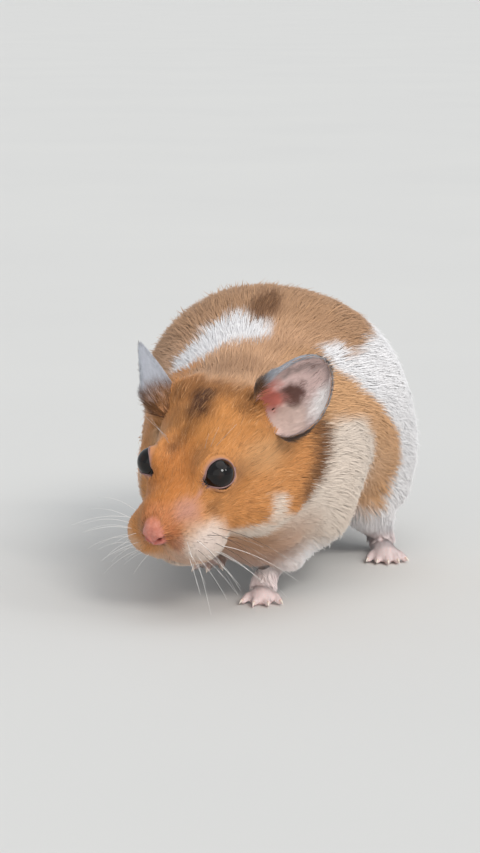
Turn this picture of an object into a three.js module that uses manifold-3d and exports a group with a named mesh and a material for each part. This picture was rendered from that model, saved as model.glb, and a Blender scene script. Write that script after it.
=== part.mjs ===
// A Syrian hamster with its head turned a little to its right and its right forefoot lifted, life size.
// Millimetres, +Z up. The animal faces -Y and its left side is +X. The origin is on the floor, under
// the middle of the animal's box.
//
// The trunk and the head are wrapped on one soft field, a blend of named ellipsoid masses, and are
// parted by thin cuts. Legs, toes and tail are tapered limbs along curves. Each ear is a bent leaf.
// It rests on the left forefoot and both hind feet, which are flat underneath.

import * as THREE from "three";
import { mergeVertices } from "three/addons/utils/BufferGeometryUtils.js";
import Module from "manifold-3d";

const wasm = await Module();
wasm.setup();

// ---------------------------------------------------------------- driving dimensions

const GAP = 0.3; // air between two neighbouring pieces
const FAR = 400; // size of the blocks that cut the animal into pieces

// Masses of the trunk: centre [left, y, up] and half sizes. A paired mass is there on both sides.
const TRUNK_SOFTNESS = 2.4;
const TRUNK_MASSES = {
  ribcage: { at: [0, -11, 32], half: [24.5, 23, 22] },
  loin: { at: [0, 8, 35.5], half: [29.4, 27, 26] },
  rump: { at: [0, 25, 31.5], half: [27.4, 23, 25.5] },
  haunch: { at: [18.5, 22, 22], half: [11.4, 17, 16], paired: true },
  leftShoulder: { at: [12.5, -20, 22], half: [11, 13, 14] },
  rightShoulder: { at: [-12, -19, 26], half: [11.5, 13, 12.5] },
  nape: { at: [-1, -25, 33], half: [17, 16, 14] },
  throat: { at: [3, -28, 18], half: [9.5, 13, 11] },
};

// The head's own frame: [left, forward, up] from a point midway between the eyes and the ears.
const HEAD = { at: [-4, -40, 30], turnRight: 19.5, noseDown: 19, leanLeft: 4 };
const HEAD_SOFTNESS = 1.1;
const HEAD_MASSES = {
  cranium: { at: [0, -4, 3], half: [12, 14, 10.5] },
  earRoot: { at: [9.4, -5.6, 7.8], half: [3.8, 5, 5], paired: true },
  cheek: { at: [9.4, -4, -7.6], half: [8.4, 12, 7.6], paired: true },
  brow: { at: [5, 8, 4.4], half: [4, 6, 4.2], paired: true },
  muzzle: { at: [0, 9.4, -4], half: [9, 10.4, 8.6] },
  snout: { at: [0, 15.2, -2.4], half: [5.8, 7, 5.4] },
  whiskerPad: { at: [5.5, 15.4, -7.6], half: [4.8, 5.6, 5.2], paired: true },
  noseTip: { at: [0, 21.6, -4], half: [2.6, 2.2, 2.4] },
  chin: { at: [0, 12, -11.8], half: [5, 6.4, 3.8] },
};
const NECK_SOFTNESS = 3.2; // how gently head and trunk run into each other

// The lines inside trunk and head from which their surfaces are reached, and how far out at most.
const TRUNK_LINE = { path: [[0, 24, 30], [0, -4, 31], [-1, -30, 29]], most: 34 };
const HEAD_LINE = { path: [[0, -7, 0], [0, 4, -2], [0, 14, -5.2]], most: 24 };

// Eyes: half sunk in the head. The lids lie as a ring so far out from the middle of the eye.
const EYE = {
  radius: 3.15,
  at: [7.75, 9.75, 4.25],
  looks: [0.8, 0.5, 0.34],
  lid: 0.45,
  lidOut: 0.6,
};
const EAR = {
  length: 16.4,
  halfWidth: 6.9,
  wall: 0.8,
  rimWall: 0.5,
  root: [10.2, -4.8, 9.2],
  skew: 2.2, // how far the tip leans towards the front edge
  widest: 0.42, // share of the length where the ear is widest
  rootWidth: 0.7, // width at the root, and at the tip, as a share of the widest
  tipWidth: 0.14,
  rootArc: 70, // half angle of the cup at the root and at the tip, degrees
  tipArc: 34,
};
// The way each ear points, the way its cup opens, and how far its root moves out, forward and up.
// The left ear opens ahead and the right one to the side, as the head turns.
const EAR_TURN = {
  left: { points: [0.68, -0.59, 0.42], opens: [0.72, 0.7, 0.02], moved: [0, 0, 0] },
  right: { points: [0.5, -0.5, 0.6], opens: [0.76, 0.3, -0.38], moved: [0.3, 0, -1.7] },
};

// Nostril: a curved slit, from its inner end below the tip of the nose, outwards and back.
const NOSTRIL = {
  path: [[0.72, 23.6, -5.3], [1.6, 23.2, -4.6], [2, 22.3, -4.35]],
  radii: [0.29, 0.42, 0.29],
};
// Mouth: the line of the lips from its corner to the front, and the cleft up to the foot of the nose.
// Each point is where a line from a point inside the head meets the coat.
const MOUTH = {
  inside: [0, 13, -7],
  corner: [6.2, 10.8, -13],
  lip: [4.2, 16, -13],
  front: [0, 19, -12],
  noseFoot: [0, 23, -6.8],
  groove: 0.42,
  cornerGroove: 0.13,
};

// Where the trunk is parted, and how far behind its centre the head ends.
const CUT = { neck: 11, shoulders: -22, hips: 13 };

// Legs: the curve of each leg from inside the trunk to its ankle, with the radius along it. A foot
// droops by so many degrees. The way along which leg and foot are parted points up the leg.
const HINDLEG = {
  path: [[15, 22, 20], [18.5, 15, 12], [20.8, 18.5, 7.5], [21.6, 23, 4]],
  radii: [7, 6, 4, 2.9],
  droop: 0,
  parted: [0, 0, 1],
};
const LEGS = {
  foreleg_left: {
    path: [[10.5, -22, 21], [9, -25, 13], [6.6, -26.5, 8], [4.6, -29, 4]],
    radii: [6, 5, 3.3, 2.5],
    droop: 0,
    parted: [0, 0, 1],
  },
  foreleg_right: {
    path: [[10.5, -18, 22], [11.5, -15.5, 14.5], [9.2, -20, 12.9], [6.4, -25.5, 12]],
    radii: [6, 4.6, 3.4, 2.6],
    droop: 14,
    parted: [0.35, 0.8, 0.5],
  },
  hindleg_left: HINDLEG,
  hindleg_right: HINDLEG,
};
const ANKLE_HEIGHT = 4; // of the ankle over the sole
const ANKLE_CUT = 0.4; // of the cut between leg and foot, below the ankle

// Feet: the sole from heel to ball as [share of the length, height], and its half width along it as
// a share of the widest. The outer toes start further back and are shorter.
const FOREFOOT = {
  length: 5.6,
  halfWidth: 2.8,
  ankle: 2.2,
  toes: 4,
  toeLength: 4.7,
  toeRadius: 0.8,
  fan: 50, // angle between the outermost toes, degrees
  out: 8, // how far the foot turns outwards, degrees
};
const HINDFOOT = {
  length: 11.8,
  halfWidth: 3.1,
  ankle: 2.6,
  toes: 5,
  toeLength: 5.2,
  toeRadius: 0.82,
  fan: 46,
  out: 14,
};
const SOLE = { heel: -1, heights: [1.25, 1.4, 1.2], widths: [0.74, 0.84, 1], flatness: 0.72 };
const ANKLE = { ahead: 0.8, height: 1.6, widening: 1.1 };
const TOE = { sunk: 0.8, setBack: 2.2, shortening: 0.7, spacing: 1.5, knuckle: 0.7, rootHeight: 1.5 };
const CLAW = { length: 1.7, radius: 0.38, tip: 0.16, sunk: 0.05, tipHeight: 0.45 };
const TAIL = { root: [0, 45, 18], tip: [1.5, 53.5, 15.5], radii: [2.4, 1.1] };

// How finely each kind of piece is divided: round it, along it, and on its rounded ends.
const TRUNK_DETAIL = { radial: 38, along: 16, cap: 7 };
const HEAD_DETAIL = { radial: 42, along: 13, cap: 10 };
const LEG_DETAIL = { radial: 14, along: 8, cap: 3 };
const ANKLE_DETAIL = { radial: 10, along: 2, cap: 3, up: [0, -1, 0] };
const SOLE_DETAIL = { radial: 12, along: 5, cap: 3 };
const TOE_DETAIL = { radial: 7, along: 2, cap: 2 };
const CLAW_DETAIL = { radial: 5, along: 1, cap: 1 };
const TAIL_DETAIL = { radial: 10, along: 4, cap: 3 };
const GROOVE_DETAIL = { radial: 5, along: 8, cap: 1 };
const EYE_DETAIL = [16, 12];
const LID_DETAIL = [6, 18];
const EAR_DETAIL = [12, 11];

// ---------------------------------------------------------------- frames and fields

const vec = (list) => new THREE.Vector3(...list);
const side = (list, sign) => vec([list[0] * sign, list[1], list[2]]);
const forward = new THREE.Vector3(0, -1, 0);

// Turns [left, forward, up] of the head into the animal's own x, y, z.
const headFrame = (() => {
  const rad = THREE.MathUtils.degToRad;
  const axes = new THREE.Matrix4().makeBasis(vec([1, 0, 0]), forward, vec([0, 0, 1]));
  const yaw = new THREE.Matrix4().makeRotationZ(-rad(HEAD.turnRight));
  const pitch = new THREE.Matrix4().makeRotationX(rad(HEAD.noseDown));
  const roll = new THREE.Matrix4().makeRotationY(rad(HEAD.leanLeft));
  const place = new THREE.Matrix4().makeTranslation(...HEAD.at);
  return place.multiply(yaw).multiply(pitch).multiply(roll).multiply(axes);
})();
const inHead = (point) => point.clone().applyMatrix4(headFrame);
const headWay = (way) => way.clone().transformDirection(headFrame);

// The masses of one table as ellipsoids: the matrix of each takes a point to the ellipsoid's own axes.
function ellipsoids(table, frame = new THREE.Matrix4()) {
  const list = [];
  for (const { at, half, paired } of Object.values(table))
    for (const sign of paired ? [1, -1] : [1]) {
      const place = frame.clone().multiply(new THREE.Matrix4().makeTranslation(...side(at, sign)));
      list.push({ inverse: place.invert(), half: vec(half) });
    }
  return list;
}

// About how far a point is outside an ellipsoid, negative inside it.
function distanceTo({ inverse, half }, point) {
  const q = point.clone().applyMatrix4(inverse).divide(half);
  const nearness = q.length();
  const slope = q.divide(half).length();
  return slope > 0 ? (nearness * (nearness - 1)) / slope : -Math.min(...half);
}

// A minimum of several distances that rounds the corner between them.
function softMinimum(distances, softness) {
  const least = Math.min(...distances);
  const sum = distances.reduce((total, d) => total + Math.exp((least - d) / softness), 0);
  return least - softness * Math.log(sum);
}

const trunkMasses = ellipsoids(TRUNK_MASSES);
const headMasses = ellipsoids(HEAD_MASSES, headFrame);

// The whole animal without its legs, ears and tail, as one field that is 0 on the coat.
function flesh(point) {
  const trunk = softMinimum(trunkMasses.map((m) => distanceTo(m, point)), TRUNK_SOFTNESS);
  const head = softMinimum(headMasses.map((m) => distanceTo(m, point)), HEAD_SOFTNESS);
  return softMinimum([trunk, head], NECK_SOFTNESS);
}

// How far the surface of the field at that level lies from a point inside it, along a way.
function reach(from, way, level, most) {
  const at = (r) => flesh(from.clone().addScaledVector(way, r)) - level;
  let near = 0;
  let far = 1;
  while (far < most && at(far) < 0) {
    near = far;
    far += 1;
  }
  if (far >= most) return most;
  for (let halving = 0; halving < 16; halving++) {
    const middle = (near + far) / 2;
    if (at(middle) < 0) near = middle;
    else far = middle;
  }
  return (near + far) / 2;
}

// ---------------------------------------------------------------- shapes

// A closed body round a curve: a capsule whose points go out from the curve as far as extent says.
function sleeve(curve, extent, { radial, along, cap, up = [0, 0, 1] }) {
  const shape = new THREE.CapsuleGeometry(1, 1, cap, radial, along);
  const position = shape.getAttribute("position");
  for (let i = 0; i < position.count; i++) {
    const p = new THREE.Vector3().fromBufferAttribute(position, i);
    const axial = THREE.MathUtils.clamp(p.y, -0.5, 0.5);
    const share = axial + 0.5;
    const tangent = curve.getTangent(share);
    const across = tangent.clone().cross(vec(up)).normalize();
    const above = across.clone().cross(tangent);
    const way = across.multiplyScalar(p.x).addScaledVector(tangent, p.y - axial).addScaledVector(above, p.z);
    way.normalize();
    const centre = curve.getPoint(share);
    centre.addScaledVector(way, extent(centre, way, share));
    position.setXYZ(i, ...centre);
  }
  return shape;
}

// A tapered limb along points, with a radius at each of them. Flatness is its height over its width.
function limb(points, radii, detail, flatness = 1) {
  const curve = new THREE.CatmullRomCurve3(points);
  const girth = new THREE.SplineCurve(radii.map((r, i) => new THREE.Vector2(i, r)));
  const extent = (centre, way, share) =>
    girth.getPoint(share).y / Math.hypot(way.x, way.y, way.z / flatness);
  return sleeve(curve, extent, detail);
}

// A geometry as a manifold-3d solid.
function solid(geometry) {
  const bare = geometry.index ? geometry.toNonIndexed() : geometry.clone();
  bare.deleteAttribute("normal");
  bare.deleteAttribute("uv");
  const merged = mergeVertices(bare, 1e-3);
  const corners = [];
  for (let i = 0; i < merged.index.count; i += 3) {
    const [a, b, c] = [0, 1, 2].map((k) => merged.index.getX(i + k));
    if (a !== b && b !== c && a !== c) corners.push(a, b, c);
  }
  const mesh = new wasm.Mesh({
    numProp: 3,
    vertProperties: merged.getAttribute("position").array,
    triVerts: Uint32Array.from(corners),
  });
  return new wasm.Manifold(mesh);
}

// A solid back as a geometry.
function geometryOf(body) {
  const mesh = body.getMesh();
  return new THREE.BufferGeometry()
    .setAttribute("position", new THREE.BufferAttribute(new Float32Array(mesh.vertProperties), 3))
    .setIndex(new THREE.BufferAttribute(mesh.triVerts, 1));
}

const join = (bodies) => bodies.reduce((whole, body) => whole.add(body));
const largest = (body) => body.decompose().reduce((a, b) => (a.volume() > b.volume() ? a : b));

// A block on the far side of a plane: it takes away all that lies along the way from the point.
function beyond(point, way) {
  const block = new THREE.BoxGeometry(FAR, FAR, FAR);
  const turn = new THREE.Quaternion().setFromUnitVectors(vec([0, 0, 1]), way);
  block.translate(0, 0, FAR / 2).applyQuaternion(turn).translate(...point);
  return solid(block);
}

const belowFloor = beyond(vec([0, 0, 0]), vec([0, 0, -1]));

// ---------------------------------------------------------------- trunk and head

const trunkCurve = new THREE.CatmullRomCurve3(TRUNK_LINE.path.map(vec));
const headCurve = new THREE.CatmullRomCurve3(HEAD_LINE.path.map((p) => inHead(vec(p))));

// A solid out to the field at that level, from the line inside it.
function wrap(curve, level, most, detail) {
  return solid(sleeve(curve, (centre, way) => reach(centre, way, level, most), detail));
}
const wrapTrunk = (level) => wrap(trunkCurve, level, TRUNK_LINE.most, TRUNK_DETAIL);
const wrapHead = (level) => wrap(headCurve, level, HEAD_LINE.most, HEAD_DETAIL);

const neckWay = headWay(vec([0, 1, 0]));
const neckPoint = inHead(vec([0, -CUT.neck, 0]));
const trunk = wrapTrunk(0);
const trunkRoom = join([wrapTrunk(GAP), wrapHead(GAP)]); // where legs, ears and tail don't go

// The trunk between two upright planes, or to its end where a plane is null.
function trunkSlice(front, back) {
  let slice = trunk;
  if (front !== null) slice = slice.subtract(beyond(vec([0, front, 0]), vec([0, -1, 0])));
  if (back !== null) slice = slice.subtract(beyond(vec([0, back, 0]), vec([0, 1, 0])));
  return slice;
}

const rump = trunkSlice(CUT.hips + GAP, null);
const torso = trunkSlice(CUT.shoulders + GAP, CUT.hips);
const neck = largest(
  trunkSlice(null, CUT.shoulders).subtract(
    beyond(neckPoint.clone().addScaledVector(neckWay, -GAP), neckWay),
  ),
);

// A point of the coat, seen from a point inside the head.
function onCoat(from, towards) {
  const start = inHead(from);
  const way = inHead(towards).sub(start).normalize();
  return start.addScaledVector(way, reach(start, way, 0, HEAD_LINE.most));
}

function mouth() {
  const inside = vec(MOUTH.inside);
  const [left, right] = [1, -1].map((sign) => [
    onCoat(inside, side(MOUTH.corner, sign)),
    onCoat(inside, side(MOUTH.lip, sign)),
  ]);
  const front = onCoat(inside, vec(MOUTH.front));
  const { groove, cornerGroove } = MOUTH;
  const line = [...left, front, ...right.reverse()];
  const lips = limb(line, [cornerGroove, groove, groove, groove, cornerGroove], GROOVE_DETAIL);
  const cleft = limb([onCoat(inside, vec(MOUTH.noseFoot)), front], [groove, groove], GROOVE_DETAIL);
  return [lips, cleft];
}

function nostril(sign) {
  return limb(NOSTRIL.path.map((p) => inHead(side(p, sign))), NOSTRIL.radii, GROOVE_DETAIL);
}

function eyeball(sign, radius) {
  return new THREE.SphereGeometry(radius, ...EYE_DETAIL).translate(...inHead(side(EYE.at, sign)));
}

function lids(sign) {
  const way = headWay(side(EYE.looks, sign).normalize());
  const ring = Math.sqrt(EYE.radius ** 2 - EYE.lidOut ** 2);
  const shape = new THREE.TorusGeometry(ring, EYE.lid, ...LID_DETAIL);
  shape.applyQuaternion(new THREE.Quaternion().setFromUnitVectors(vec([0, 0, 1]), way));
  const centre = inHead(side(EYE.at, sign)).addScaledVector(way, EYE.lidOut);
  return solid(shape.translate(...centre));
}

function makeHead() {
  let body = wrapHead(0).subtract(beyond(neckPoint, neckWay.clone().negate()));
  body = body.subtract(beyond(vec([0, CUT.shoulders, 0]), vec([0, 1, 0])));
  for (const sign of [1, -1]) {
    body = body.add(lids(sign));
    body = body.subtract(solid(eyeball(sign, EYE.radius + GAP)));
    body = body.subtract(solid(nostril(sign)));
  }
  for (const groove of mouth()) body = body.subtract(solid(groove));
  return largest(body);
}

// How wide the ear is at a share of its length, as a share of the widest.
function earWidth(s) {
  if (s < EAR.widest) return 1 - (1 - EAR.rootWidth) * (1 - s / EAR.widest) ** 2;
  const past = (s - EAR.widest) / (1 - EAR.widest);
  return EAR.tipWidth + (1 - EAR.tipWidth) * Math.sqrt(1 - past * past);
}

// One ear: a leaf bent into a cup, mapped from a flat box of x across, y along and z through.
function makeEar(sign, turn) {
  const along = headWay(side(turn.points, sign).normalize());
  const opens = headWay(side(turn.opens, sign).normalize());
  const across = along.clone().cross(opens).normalize().multiplyScalar(sign); // to the back edge
  const face = across.clone().cross(along).multiplyScalar(sign);
  const root = inHead(side(EAR.root, sign).add(side(turn.moved, sign)));
  const leaf = new THREE.BoxGeometry(2, 1, 1, ...EAR_DETAIL, 1);
  const position = leaf.getAttribute("position");
  for (let i = 0; i < position.count; i++) {
    const [t, s, through] = [sign * position.getX(i), position.getY(i) + 0.5, position.getZ(i)];
    const half = EAR.halfWidth * earWidth(s);
    const arc = THREE.MathUtils.degToRad(THREE.MathUtils.lerp(EAR.rootArc, EAR.tipArc, Math.sqrt(s)));
    const bend = half / Math.sin(arc);
    const wall = THREE.MathUtils.lerp(EAR.wall, EAR.rimWall, Math.max(Math.abs(t), s) ** 3);
    const ring = through > 0 ? bend : bend + wall;
    const point = root.clone().addScaledVector(along, EAR.length * s);
    point.addScaledVector(across, ring * Math.sin(arc * t) - EAR.skew * s * s);
    point.addScaledVector(face, bend * Math.cos(arc) - ring * Math.cos(arc * t));
    position.setXYZ(i, ...point);
  }
  return largest(solid(leaf).subtract(trunkRoom));
}

// ---------------------------------------------------------------- legs, feet and tail

// A foot hanging from its ankle. Its own frame is [ahead, outwards, up], with the sole at 0.
function makeFoot(ankle, shape, sign, droop) {
  const rad = THREE.MathUtils.degToRad;
  const up = vec([0, 0, 1]);
  const out = vec([sign, 0, 0]).applyAxisAngle(up, rad(shape.out) * sign);
  const way = forward.clone().applyAxisAngle(up, rad(shape.out) * sign);
  const turn = new THREE.Quaternion().setFromAxisAngle(vec([1, 0, 0]), rad(droop));
  for (const axis of [out, way, up]) axis.applyQuaternion(turn);
  const at = (ahead, aside, over) => {
    const point = ankle.clone().addScaledVector(way, ahead);
    return point.addScaledVector(out, aside).addScaledVector(up, over - ANKLE_HEIGHT);
  };
  const [heel, arch, ball] = SOLE.heights;
  const sole = [at(SOLE.heel, 0, heel), at(shape.length / 2, 0, arch), at(shape.length, 0, ball)];
  const widths = SOLE.widths.map((share) => share * shape.halfWidth);
  const ankleLine = [at(0, 0, ANKLE_HEIGHT), at(ANKLE.ahead, 0, ANKLE.height)];
  const pieces = [
    limb(ankleLine, [shape.ankle, shape.ankle * ANKLE.widening], ANKLE_DETAIL),
    limb(sole, widths, SOLE_DETAIL, SOLE.flatness),
  ];
  for (let toe = 0; toe < shape.toes; toe++) {
    const share = toe / (shape.toes - 1) - 0.5; // from the inner toe to the outer one
    const spread = rad(shape.fan * share);
    const start = shape.length - TOE.sunk - Math.abs(share) * TOE.setBack;
    const aside = share * shape.halfWidth * TOE.spacing;
    const length = shape.toeLength - TOE.shortening * shape.toeLength * share * share;
    const step = (run, over) => at(start + run * Math.cos(spread), aside + run * Math.sin(spread), over);
    const r = shape.toeRadius;
    const knuckles = [step(0, TOE.rootHeight), step(length / 2, r + TOE.knuckle), step(length, r)];
    const nail = [step(length, r + CLAW.sunk), step(length + CLAW.length, CLAW.tipHeight)];
    pieces.push(limb(knuckles, [r, r, r], TOE_DETAIL));
    pieces.push(limb(nail, [CLAW.radius, CLAW.tip], CLAW_DETAIL));
  }
  return join(pieces.map(solid)).subtract(belowFloor);
}

// A leg and its foot, parted at the ankle.
function makeLeg({ path, radii, droop, parted }, footShape, sign) {
  const points = path.map((p) => side(p, sign));
  const ankle = points.at(-1);
  const upLeg = side(parted, sign).normalize();
  const cut = ankle.clone().addScaledVector(upLeg, -ANKLE_CUT);
  const shaft = solid(limb(points, radii, LEG_DETAIL)).subtract(trunkRoom);
  const leg = shaft.subtract(beyond(cut.clone().addScaledVector(upLeg, GAP), upLeg.clone().negate()));
  const foot = makeFoot(ankle, footShape, sign, droop).subtract(trunkRoom);
  return { leg: largest(leg), foot: largest(foot.subtract(beyond(cut, upLeg))) };
}

function makeTail() {
  const shaft = limb([vec(TAIL.root), vec(TAIL.tip)], TAIL.radii, TAIL_DETAIL);
  return largest(solid(shaft).subtract(trunkRoom));
}

// ---------------------------------------------------------------- the animal

const FINISH = {
  gold: { color: 0xb97a48, roughness: 0.9 },
  cream: { color: 0xd8cabb, roughness: 0.9 },
  white: { color: 0xe4dfdb, roughness: 0.9 },
  ear: { color: 0xa07f78, roughness: 0.8 },
  skin: { color: 0xdcb4ac, roughness: 0.7 },
  eye: { color: 0x14110f, roughness: 0.08 },
};

const animal = new THREE.Group();

function add(name, body, finish) {
  const material = new THREE.MeshStandardMaterial({ ...FINISH[finish], metalness: 0 });
  const mesh = new THREE.Mesh(body.isBufferGeometry ? body : geometryOf(body), material);
  mesh.name = name;
  animal.add(mesh);
}

add("head", makeHead(), "gold");
add("neck", neck, "gold");
add("torso", torso, "cream");
add("rump", rump, "gold");
add("tail", makeTail(), "skin");
for (const [name, sign] of [["left", 1], ["right", -1]]) {
  add(`eye_${name}`, eyeball(sign, EYE.radius), "eye");
  add(`ear_${name}`, makeEar(sign, EAR_TURN[name]), "ear");
  for (const [end, shape] of [["fore", FOREFOOT], ["hind", HINDFOOT]]) {
    const { leg, foot } = makeLeg(LEGS[`${end}leg_${name}`], shape, sign);
    add(`${end}leg_${name}`, leg, "white");
    add(`${end}foot_${name}`, foot, "skin");
  }
}

// The origin goes to the floor under the middle of the box.
const box = new THREE.Box3().setFromObject(animal, true);
const middle = box.getCenter(new THREE.Vector3());
animal.position.set(-middle.x, -middle.y, -box.min.z);

export default animal;
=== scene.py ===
"""Dresses the solid parts of a life-size Syrian hamster with skin, coat, eyes, ears, whiskers and claws.

Everything is in metres in the row frame: the animal faces -Y, its left side is +X, the floor is z = 0.
Sizes of the animal are written in millimetres. Two frames of its own are used, both in millimetres:
the head's [left, forward, up] from the head's middle, and the trunk's [left, back, up] from the floor.
"""

from __future__ import annotations

import logging
import math
from dataclasses import dataclass
from enum import Enum
from typing import Any, Callable, Sequence

import bpy
import numpy as np
from mathutils import Matrix, Vector
from mathutils.bvhtree import BVHTree
from mathutils.kdtree import KDTree


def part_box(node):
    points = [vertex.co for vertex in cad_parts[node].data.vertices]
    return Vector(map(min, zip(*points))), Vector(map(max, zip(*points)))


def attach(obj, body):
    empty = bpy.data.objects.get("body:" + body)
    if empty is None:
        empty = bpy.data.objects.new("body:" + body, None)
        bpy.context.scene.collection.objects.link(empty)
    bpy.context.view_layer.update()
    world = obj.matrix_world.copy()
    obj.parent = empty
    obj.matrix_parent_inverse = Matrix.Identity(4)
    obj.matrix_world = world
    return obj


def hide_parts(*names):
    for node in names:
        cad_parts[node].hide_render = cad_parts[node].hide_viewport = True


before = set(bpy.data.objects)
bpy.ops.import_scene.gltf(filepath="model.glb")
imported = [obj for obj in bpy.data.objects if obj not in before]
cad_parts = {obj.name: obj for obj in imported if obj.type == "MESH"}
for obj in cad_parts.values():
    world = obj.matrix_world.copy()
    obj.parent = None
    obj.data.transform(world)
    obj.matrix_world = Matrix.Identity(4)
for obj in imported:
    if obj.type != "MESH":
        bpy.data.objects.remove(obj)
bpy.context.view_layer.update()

log = logging.getLogger("hamster")

MM = 0.001
SIDES = (("left", 1.0), ("right", -1.0))
FLESH = (
    "head", "neck", "torso", "rump", "tail",
    "foreleg_left", "foreleg_right", "forefoot_left", "forefoot_right",
    "hindleg_left", "hindleg_right", "hindfoot_left", "hindfoot_right",
)
PARTS = FLESH + ("lid", "ear")  # each vertex of the skin carries the number of its part
# the skin that carries SOCKET is painted black, as painted shade in the eye sockets
SOCKET = 2.0  # what the skin behind an eye carries in place of its share of lid
FAR = 99.0  # further than anything on the animal (mm)


# ---------------------------------------------------------------- values, places and lines


def step(values: np.ndarray, low: float, high: float) -> np.ndarray:
    """A smooth step from 0 at low to 1 at high."""
    share = np.clip((values - low) / (high - low), 0.0, 1.0)
    return share * share * (3.0 - 2.0 * share)


def bump(values: np.ndarray, width: float) -> np.ndarray:
    """A bell of height 1 round 0, about width wide on each side."""
    return np.exp(-((values / width) ** 2))


def unit(vectors: np.ndarray) -> np.ndarray:
    """The vectors at length 1."""
    lengths = np.linalg.norm(vectors, axis=-1, keepdims=True)
    return vectors / np.maximum(lengths, 1e-12)


def on_side(places: Any, sign: float) -> np.ndarray:
    """Places or ways given for the left side, on the side of the sign."""
    return np.array(places) * [sign, 1.0, 1.0]


def to_left(head: np.ndarray) -> np.ndarray:
    """Points of the head's frame, with those of the right side mirrored to the left."""
    return np.column_stack([np.abs(head[:, 0]), head[:, 1:]])


def within(points: np.ndarray, centre: Sequence[float], half: Sequence[float],
           soft: float = 0.3) -> np.ndarray:
    """How far points are inside an ellipsoid.

    Args:
        points: The points, in the frame of the ellipsoid.
        centre: Its centre.
        half: Its half sizes.
        soft: The share of its size over which the edge fades.

    Returns:
        1 inside and 0 outside, with a smooth edge.
    """
    out = np.linalg.norm((points - np.array(centre)) / np.array(half), axis=1)
    return 1.0 - step(out, 1.0 - soft, 1.0 + soft)


def ripple(points: np.ndarray, wavelength: float, seed: int) -> np.ndarray:
    """Soft waves from about -1 to 1, the same for the same points and seed.

    Args:
        points: Where to read the waves.
        wavelength: Their length, in the unit of the points.
        seed: The seed of their directions.

    Returns:
        One value for each point.
    """
    draw = np.random.default_rng(seed)
    ways = unit(draw.normal(size=(7, 3)))
    rates = 2.0 * math.pi / wavelength * draw.uniform(0.7, 1.4, 7)
    phases = draw.uniform(0.0, 2.0 * math.pi, 7)
    return np.sin(points @ ways.T * rates + phases).mean(axis=1) * 1.9


def smooth_line(points: Sequence[Sequence[float]], count: int) -> np.ndarray:
    """A Catmull-Rom curve through points.

    Args:
        points: The points that it passes.
        count: How many points the result has.

    Returns:
        The points of the curve, one row each.
    """
    knots = np.array(points, float)
    knots = np.vstack([2 * knots[0] - knots[1], knots, 2 * knots[-1] - knots[-2]])
    spans = len(knots) - 3
    at = np.linspace(0.0, spans, count)
    span = np.minimum(at.astype(int), spans - 1)
    t = (at - span)[:, None]
    a, b, c, d = (knots[span + k] for k in range(4))
    return 0.5 * (2 * b + (c - a) * t + (2 * a - 5 * b + 4 * c - d) * t**2 + (3 * b - a - 3 * c + d) * t**3)


def distance_to_line(points: np.ndarray, line: np.ndarray) -> tuple[np.ndarray, np.ndarray]:
    """How far points are from a polyline.

    Args:
        points: The points.
        line: The corners of the polyline.

    Returns:
        The distance of each point, and the nearest point of the line.
    """
    best = np.full(len(points), np.inf)
    nearest = np.zeros_like(points)
    for start, end in zip(line[:-1], line[1:]):
        way = end - start
        t = np.clip((points - start) @ way / max(way @ way, 1e-12), 0.0, 1.0)
        foot = start + t[:, None] * way
        gap = np.linalg.norm(points - foot, axis=1)
        closer = gap < best
        best[closer] = gap[closer]
        nearest[closer] = foot[closer]
    return best, nearest


# ---------------------------------------------------------------- the animal's own frames


@dataclass(frozen=True)
class Stance:
    """How the head is held, and the named places on it, in the frame of the head (mm)."""

    turn_right: float = 19.5
    nose_down: float = 19.0
    lean_left: float = 4.0
    head_middle: tuple = (-4.0, -40.0, 30.0)  # in the frame of the trunk
    eye: tuple = (7.75, 9.75, 4.25)
    eye_looks: tuple = (0.8, 0.5, 0.34)

    def axes(self) -> np.ndarray:
        """Works out how the head is turned.

        Returns:
            The head's left, forward and up as columns, in the row frame.
        """
        turn = Matrix.Rotation(-math.radians(self.turn_right), 3, "Z")
        turn = turn @ Matrix.Rotation(math.radians(self.nose_down), 3, "X")
        turn = turn @ Matrix.Rotation(math.radians(self.lean_left), 3, "Y")
        return np.array(turn) @ np.diag([1.0, -1.0, 1.0])


class Body:
    """Where the head and the trunk are, worked out from the places of the eyes."""

    def __init__(self, stance: Stance) -> None:
        """Finds the two frames.

        Args:
            stance: How the head is held.
        """
        self.stance = stance
        self.axes = stance.axes()
        corners = [np.array(c) for name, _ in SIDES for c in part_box(f"eye_{name}")]
        between_eyes = np.mean(corners, axis=0)
        mid_eye = np.array([0.0, stance.eye[1], stance.eye[2]])
        self.head_origin = between_eyes - self.axes @ mid_eye * MM
        self.trunk_origin = self.head_origin - np.array(stance.head_middle) * MM

    def to_head(self, points: np.ndarray) -> np.ndarray:
        """Points of the row frame in the frame of the head (mm)."""
        return (points - self.head_origin) @ self.axes / MM

    def to_trunk(self, points: np.ndarray) -> np.ndarray:
        """Points of the row frame in the frame of the trunk (mm)."""
        return (points - self.trunk_origin) / MM

    def from_head(self, points: np.ndarray) -> np.ndarray:
        """Points of the head's frame (mm) in the row frame."""
        return self.head_origin + np.atleast_2d(points) @ self.axes.T * MM

    def from_trunk(self, points: np.ndarray) -> np.ndarray:
        """Points of the trunk's frame (mm) in the row frame."""
        return self.trunk_origin + np.atleast_2d(points) * MM

    def head_way(self, ways: np.ndarray) -> np.ndarray:
        """Directions of the head's frame as unit vectors of the row frame."""
        return unit(np.atleast_2d(ways) @ self.axes.T)

    def eye_centre(self, sign: float) -> np.ndarray:
        """The centre of one eye in the row frame: sign 1 is the left eye."""
        return self.from_head(on_side(self.stance.eye, sign))[0]

    def from_eye(self, points: np.ndarray, sign: float) -> np.ndarray:
        """How far points are from the centre of one eye (mm)."""
        return np.linalg.norm(points - self.eye_centre(sign), axis=1) / MM


# ---------------------------------------------------------------- working with meshes


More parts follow.
